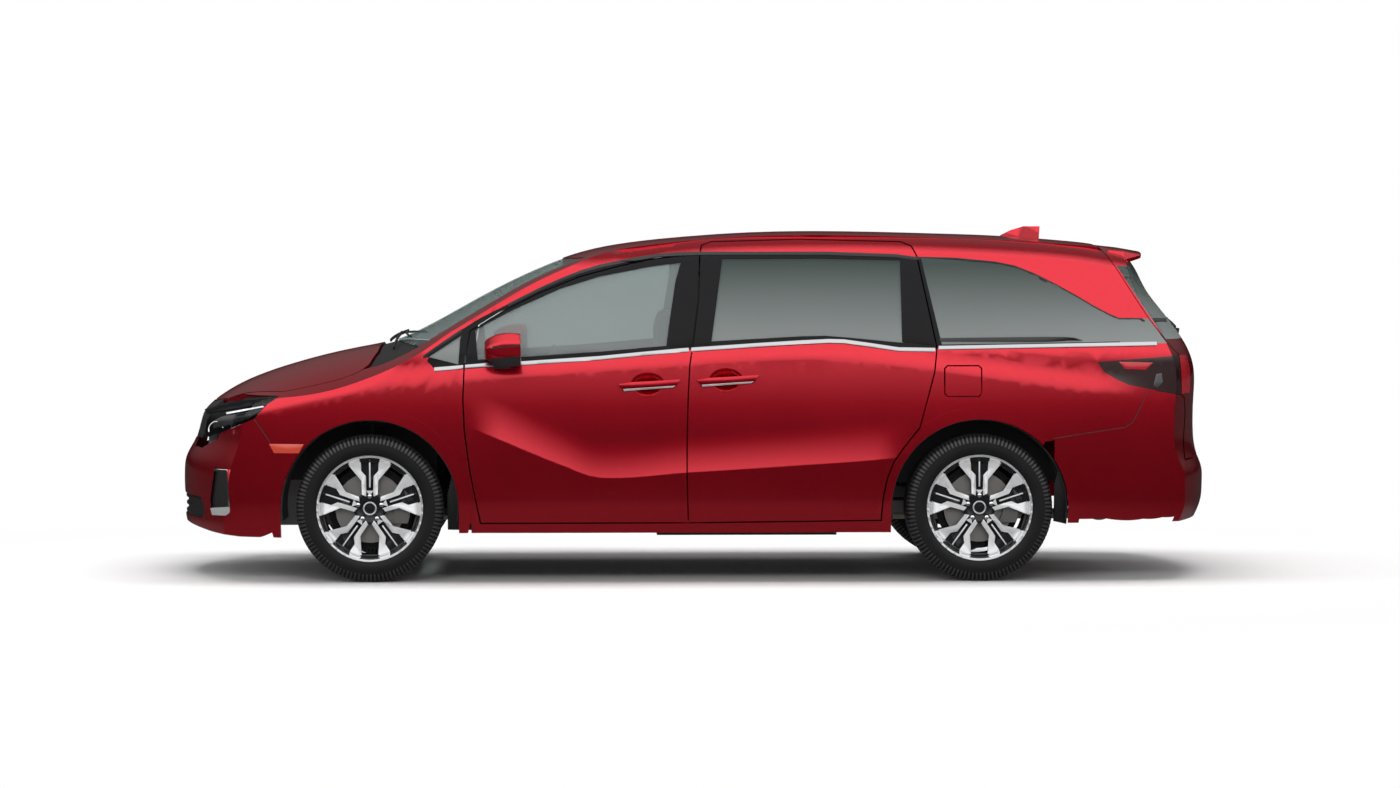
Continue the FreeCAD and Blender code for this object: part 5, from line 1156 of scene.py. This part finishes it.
def noseBacking(name, low, high, half, setBack, cells=(24, 6)):
    # a dark sheet that follows the nose behind an opening; heights and the half width in millimetres
    bpy.ops.object.select_all(action="DESELECT")
    bpy.ops.mesh.primitive_grid_add(x_subdivisions=cells[0], y_subdivisions=cells[1], size=1)
    sheet = bpy.context.object
    sheet.name = name
    for vertex in sheet.data.vertices:
        across, height = vertex.co.x * 2 * half, low + (vertex.co.y + 0.5) * (high - low)
        nose = centreValue[:, 0] < -2300
        row = centreValue[nose][np.abs(centreValue[nose][:, 1] - height).argmin()]
        forward = row[0] + row[2] * (across / bodyForm["halfWidth"]) ** 2
        vertex.co = ((forward + setBack) / 1000, across / 1000, height / 1000)
    addModifier(sheet, "SOLIDIFY", thickness=0.005, offset=0)
    addModifier(sheet, "BEVEL", width=0.001, segments=2, limit_method="ANGLE")
    applyAll(sheet)
    paintOver(sheet, blackSatin)
    shadeSmooth(sheet, 40)
    outward(sheet)
    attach(sheet, "body")


noseBacking("lowerMouthBacking", 284, 412, 592, 16)
noseBacking("upperMouthBacking", 686, 804, 400, 4)

print("mirrors")
for side, sign in sides.items():
    case = bpy.data.objects["mirrorCase_" + side]
    addModifier(case, "REMESH", mode="VOXEL", voxel_size=0.0055)
    addModifier(case, "SMOOTH", factor=0.5, iterations=7)
    applyAll(case)
    for height in (1.110, 1.158, 1.166):
        editAll(case)
        bpy.ops.mesh.bisect(plane_co=(-0.95, 0, height), plane_no=Vector((-0.1, 0, 1)).normalized())
        closeEdit()
    for material in (blackSatin, mirrorGlass, chrome):
        case.data.materials.append(material)
    for face in case.data.polygons:
        level = face.center.z - 0.1 * (face.center.x + 0.95)
        face.material_index = 1 if level < 1.110 else 3 if 1.158 < level < 1.166 and face.normal.x > -0.6 else 0
        if face.normal.x > 0.9 and face.center.z > 1.0:
            face.material_index = 2
    shadeSmooth(case, 50)

print("wipers")


def barAlong(name, points, width, height, material, body):
    # a bar of even section through a few points, lying flat
    bpy.ops.object.select_all(action="DESELECT")
    bpy.ops.curve.primitive_bezier_curve_add()
    rail = bpy.context.object
    rail.data.splines.clear()
    spline = rail.data.splines.new("NURBS")
    spline.points.add(len(points) - 1)
    for point, place in zip(spline.points, points):
        point.co = (*place, 1)
    spline.order_u = 3
    spline.use_endpoint_u = True
    rail.data.dimensions = "3D"
    rail.data.bevel_depth = 0.5
    rail.data.bevel_resolution = 3
    rail.data.use_fill_caps = True
    rail.data.bevel_depth = height / 2
    rail.data.extrude = (width - height) / 2
    bpy.ops.object.convert(target="MESH")
    bar = bpy.context.object
    bar.name = name
    paintOver(bar, material)
    shadeSmooth(bar, 50)
    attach(bar, body)
    return bar


def onSkin(x, y, lift=0.012):
    # a place over the surface that the centre line sweeps, at a height chosen by x on the middle plane
    row = centreValue[np.abs(centreValue[:, 0] - x).argmin()] if x < 0 else \
        centreValue[centreValue[:, 1] > 1050][np.abs(centreValue[centreValue[:, 1] > 1050][:, 0] - x).argmin()]
    share = (y / bodyForm["halfWidth"]) ** 2
    return ((row[0] + row[2] * share) / 1000, y / 1000, (row[1] - row[3] * share) / 1000 + lift)


for name, pivot, tip in (("driverWiper", -560, 60), ("passengerWiper", 60, 640)):
    blade = [onSkin(-1480 + 0.02 * (y - pivot), y, 0.014) for y in np.linspace(pivot + 40, tip, 7)]
    arm = [onSkin(-1560, pivot, 0.0), onSkin(-1545, pivot + 90, 0.022), onSkin(-1500, (pivot + tip) / 2, 0.030)]
    barAlong(name + "Blade", blade, 0.012, 0.010, sealRubber, "body")
    barAlong(name + "Arm", arm, 0.018, 0.008, blackSatin, "body")
rearBlade = [onSkin(2440, y, 0.014) for y in np.linspace(-30, 330, 5)]
rearArm = [onSkin(2485, 0, 0.026), onSkin(2470, 60, 0.034), onSkin(2442, 170, 0.026)]
barAlong("rearWiperBlade", rearBlade, 0.012, 0.010, sealRubber, "tailgate_lid")
barAlong("rearWiperArm", rearArm, 0.024, 0.014, blackSatin, "tailgate_lid")
barAlong("rearWiperBoss", [onSkin(2487, 0, -0.008), onSkin(2492, 0, 0.036)], 0.034, 0.034, blackSatin, "tailgate_lid")

print("seats")
padding = {"cap": 0.014, "voxel": 0.006, "pressure": 4.0, "frames": 20}


def paddedForm(name, place, size, tilt, crown, waist=0.06):
    # a crowned closed form: a subdivided block with its sides drawn in and its face raised
    bpy.ops.object.select_all(action="DESELECT")
    bpy.ops.mesh.primitive_cube_add(size=1, location=(0, 0, 0), scale=size)
    pad = placeInMesh(bpy.context.object)
    pad.name = name
    addModifier(pad, "BEVEL", width=min(size) * 0.28, segments=3)
    applyAll(pad)
    editAll(pad)
    bpy.ops.mesh.subdivide(number_cuts=3)
    closeEdit()
    half = [c / 2 for c in size]
    for vertex in pad.data.vertices:
        u, v, w = vertex.co.x / half[0], vertex.co.y / half[1], vertex.co.z / half[2]
        swell = crown * (1 - min(1, u * u)) * (1 - min(1, v * v))
        vertex.co.z += swell if w > 0.2 else 0
        vertex.co.x *= 1 - waist * (1 - min(1, v * v)) * 0.5
    pad.data.transform(Matrix.Translation(place) @ Matrix.Rotation(math.radians(tilt), 4, "Y"))
    return pad


def swellCloth(pad):
    # the pad is remeshed and blown up as cloth, no point moving further than the cap
    addModifier(pad, "REMESH", mode="VOXEL", voxel_size=padding["voxel"] * 1.6)
    applyAll(pad)
    before = vertexPlaces(pad)
    blown = pad.modifiers.new("cloth", "CLOTH")
    blown.settings.use_pressure = True
    blown.settings.uniform_pressure_force = padding["pressure"]
    blown.settings.effector_weights.gravity = 0
    blown.settings.tension_stiffness = 40
    blown.settings.compression_stiffness = 40
    blown.point_cache.frame_start = 1
    blown.point_cache.frame_end = padding["frames"]
    for step in range(1, padding["frames"] + 1):
        bpy.context.scene.frame_set(step)
    applyAll(pad)
    bpy.context.scene.frame_set(1)
    after = vertexPlaces(pad)
    moved = after - before
    far = np.linalg.norm(moved, axis=1)[:, None]
    capped = before + moved * np.minimum(1, padding["cap"] * 1000 / np.maximum(far, 0.001))
    pad.data.vertices.foreach_set("co", (capped / 1000).ravel())
    pad.data.update()


def finishPad(pad, nodeName):
    paintOver(pad, seatCloth)
    shadeSmooth(pad, 80)
    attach(pad, "body")
    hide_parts(nodeName)


chair = [("Cushion", (-0.585, 0, 0.455), (0.50, 0.50, 0.16), 4, 0.020),
         ("Base", (-0.57, 0, 0.355), (0.40, 0.44, 0.10), 0, 0.004),
         ("Back", (-0.235, 0, 0.805), (0.58, 0.50, 0.14), -79, 0.020),
         ("Headrest", (-0.135, 0, 1.225), (0.19, 0.27, 0.10), -82, 0.010)]
bench = [("Cushion", (-0.585, 0, 0.455), (0.48, 1.12, 0.16), 4, 0.018),
         ("Back", (-0.235, 0, 0.805), (0.58, 1.12, 0.14), -79, 0.018)]
bench += [("Headrest_%d" % i, (-0.135, y, 1.225), (0.17, 0.24, 0.09), -82, 0.010)
          for i, y in enumerate((-0.38, 0.0, 0.38))]
rows = [("frontSeat", "front_seats", 0.0, 0.0, chair, (-0.40, 0.40)), ("middleSeat", "middle_seats", 0.96, 0.0, chair,
        (-0.40, 0.40)), ("rearSeat", "rear_seat", 1.85, 0.17, bench, (0.0,))]
masters = {}
for stem, nodeName, shiftX, shiftZ, parts, places in rows:
    for partName, place, size, tilt, crown in parts:
        key = (partName, size)
        if key not in masters:
            masters[key] = paddedForm("pad", (0, 0, 0), size, 0, crown)
            swellCloth(masters[key])
        for y in places:
            sideName = {-0.40: "_left", 0.40: "_right", 0.0: ""}[y]
            pad = copyMesh(masters[key], stem + partName + sideName)
            pad.data.transform(Matrix.Translation((place[0] + shiftX, place[1] + y, place[2] + shiftZ))
                               @ Matrix.Rotation(math.radians(tilt), 4, "Y"))
            finishPad(pad, nodeName)
for master in masters.values():
    bpy.data.objects.remove(master)

print("plain nodes")
for nodeName, material in (("grille", blackSatin), ("arch_liners", blackGrain), ("fuel_tank", blackGrain),
                           ("knuckle_left", castIron), ("knuckle_right", castIron), ("rear_axle", castIron),
                           ("front_struts", darkSteel), ("front_subframe", darkSteel), ("rear_springs", darkSteel),
                           ("floor", darkSteel), ("engine", engineAlloy), ("radiator", engineAlloy),
                           ("exhaust", exhaustSteel), ("dashboard", cabinPlastic), ("steering_wheel", cabinPlastic)):
    paintOver(nodes[nodeName], material)
for corner in corners:
    paintOver(nodes["brake_disc_" + corner], brakeIron)
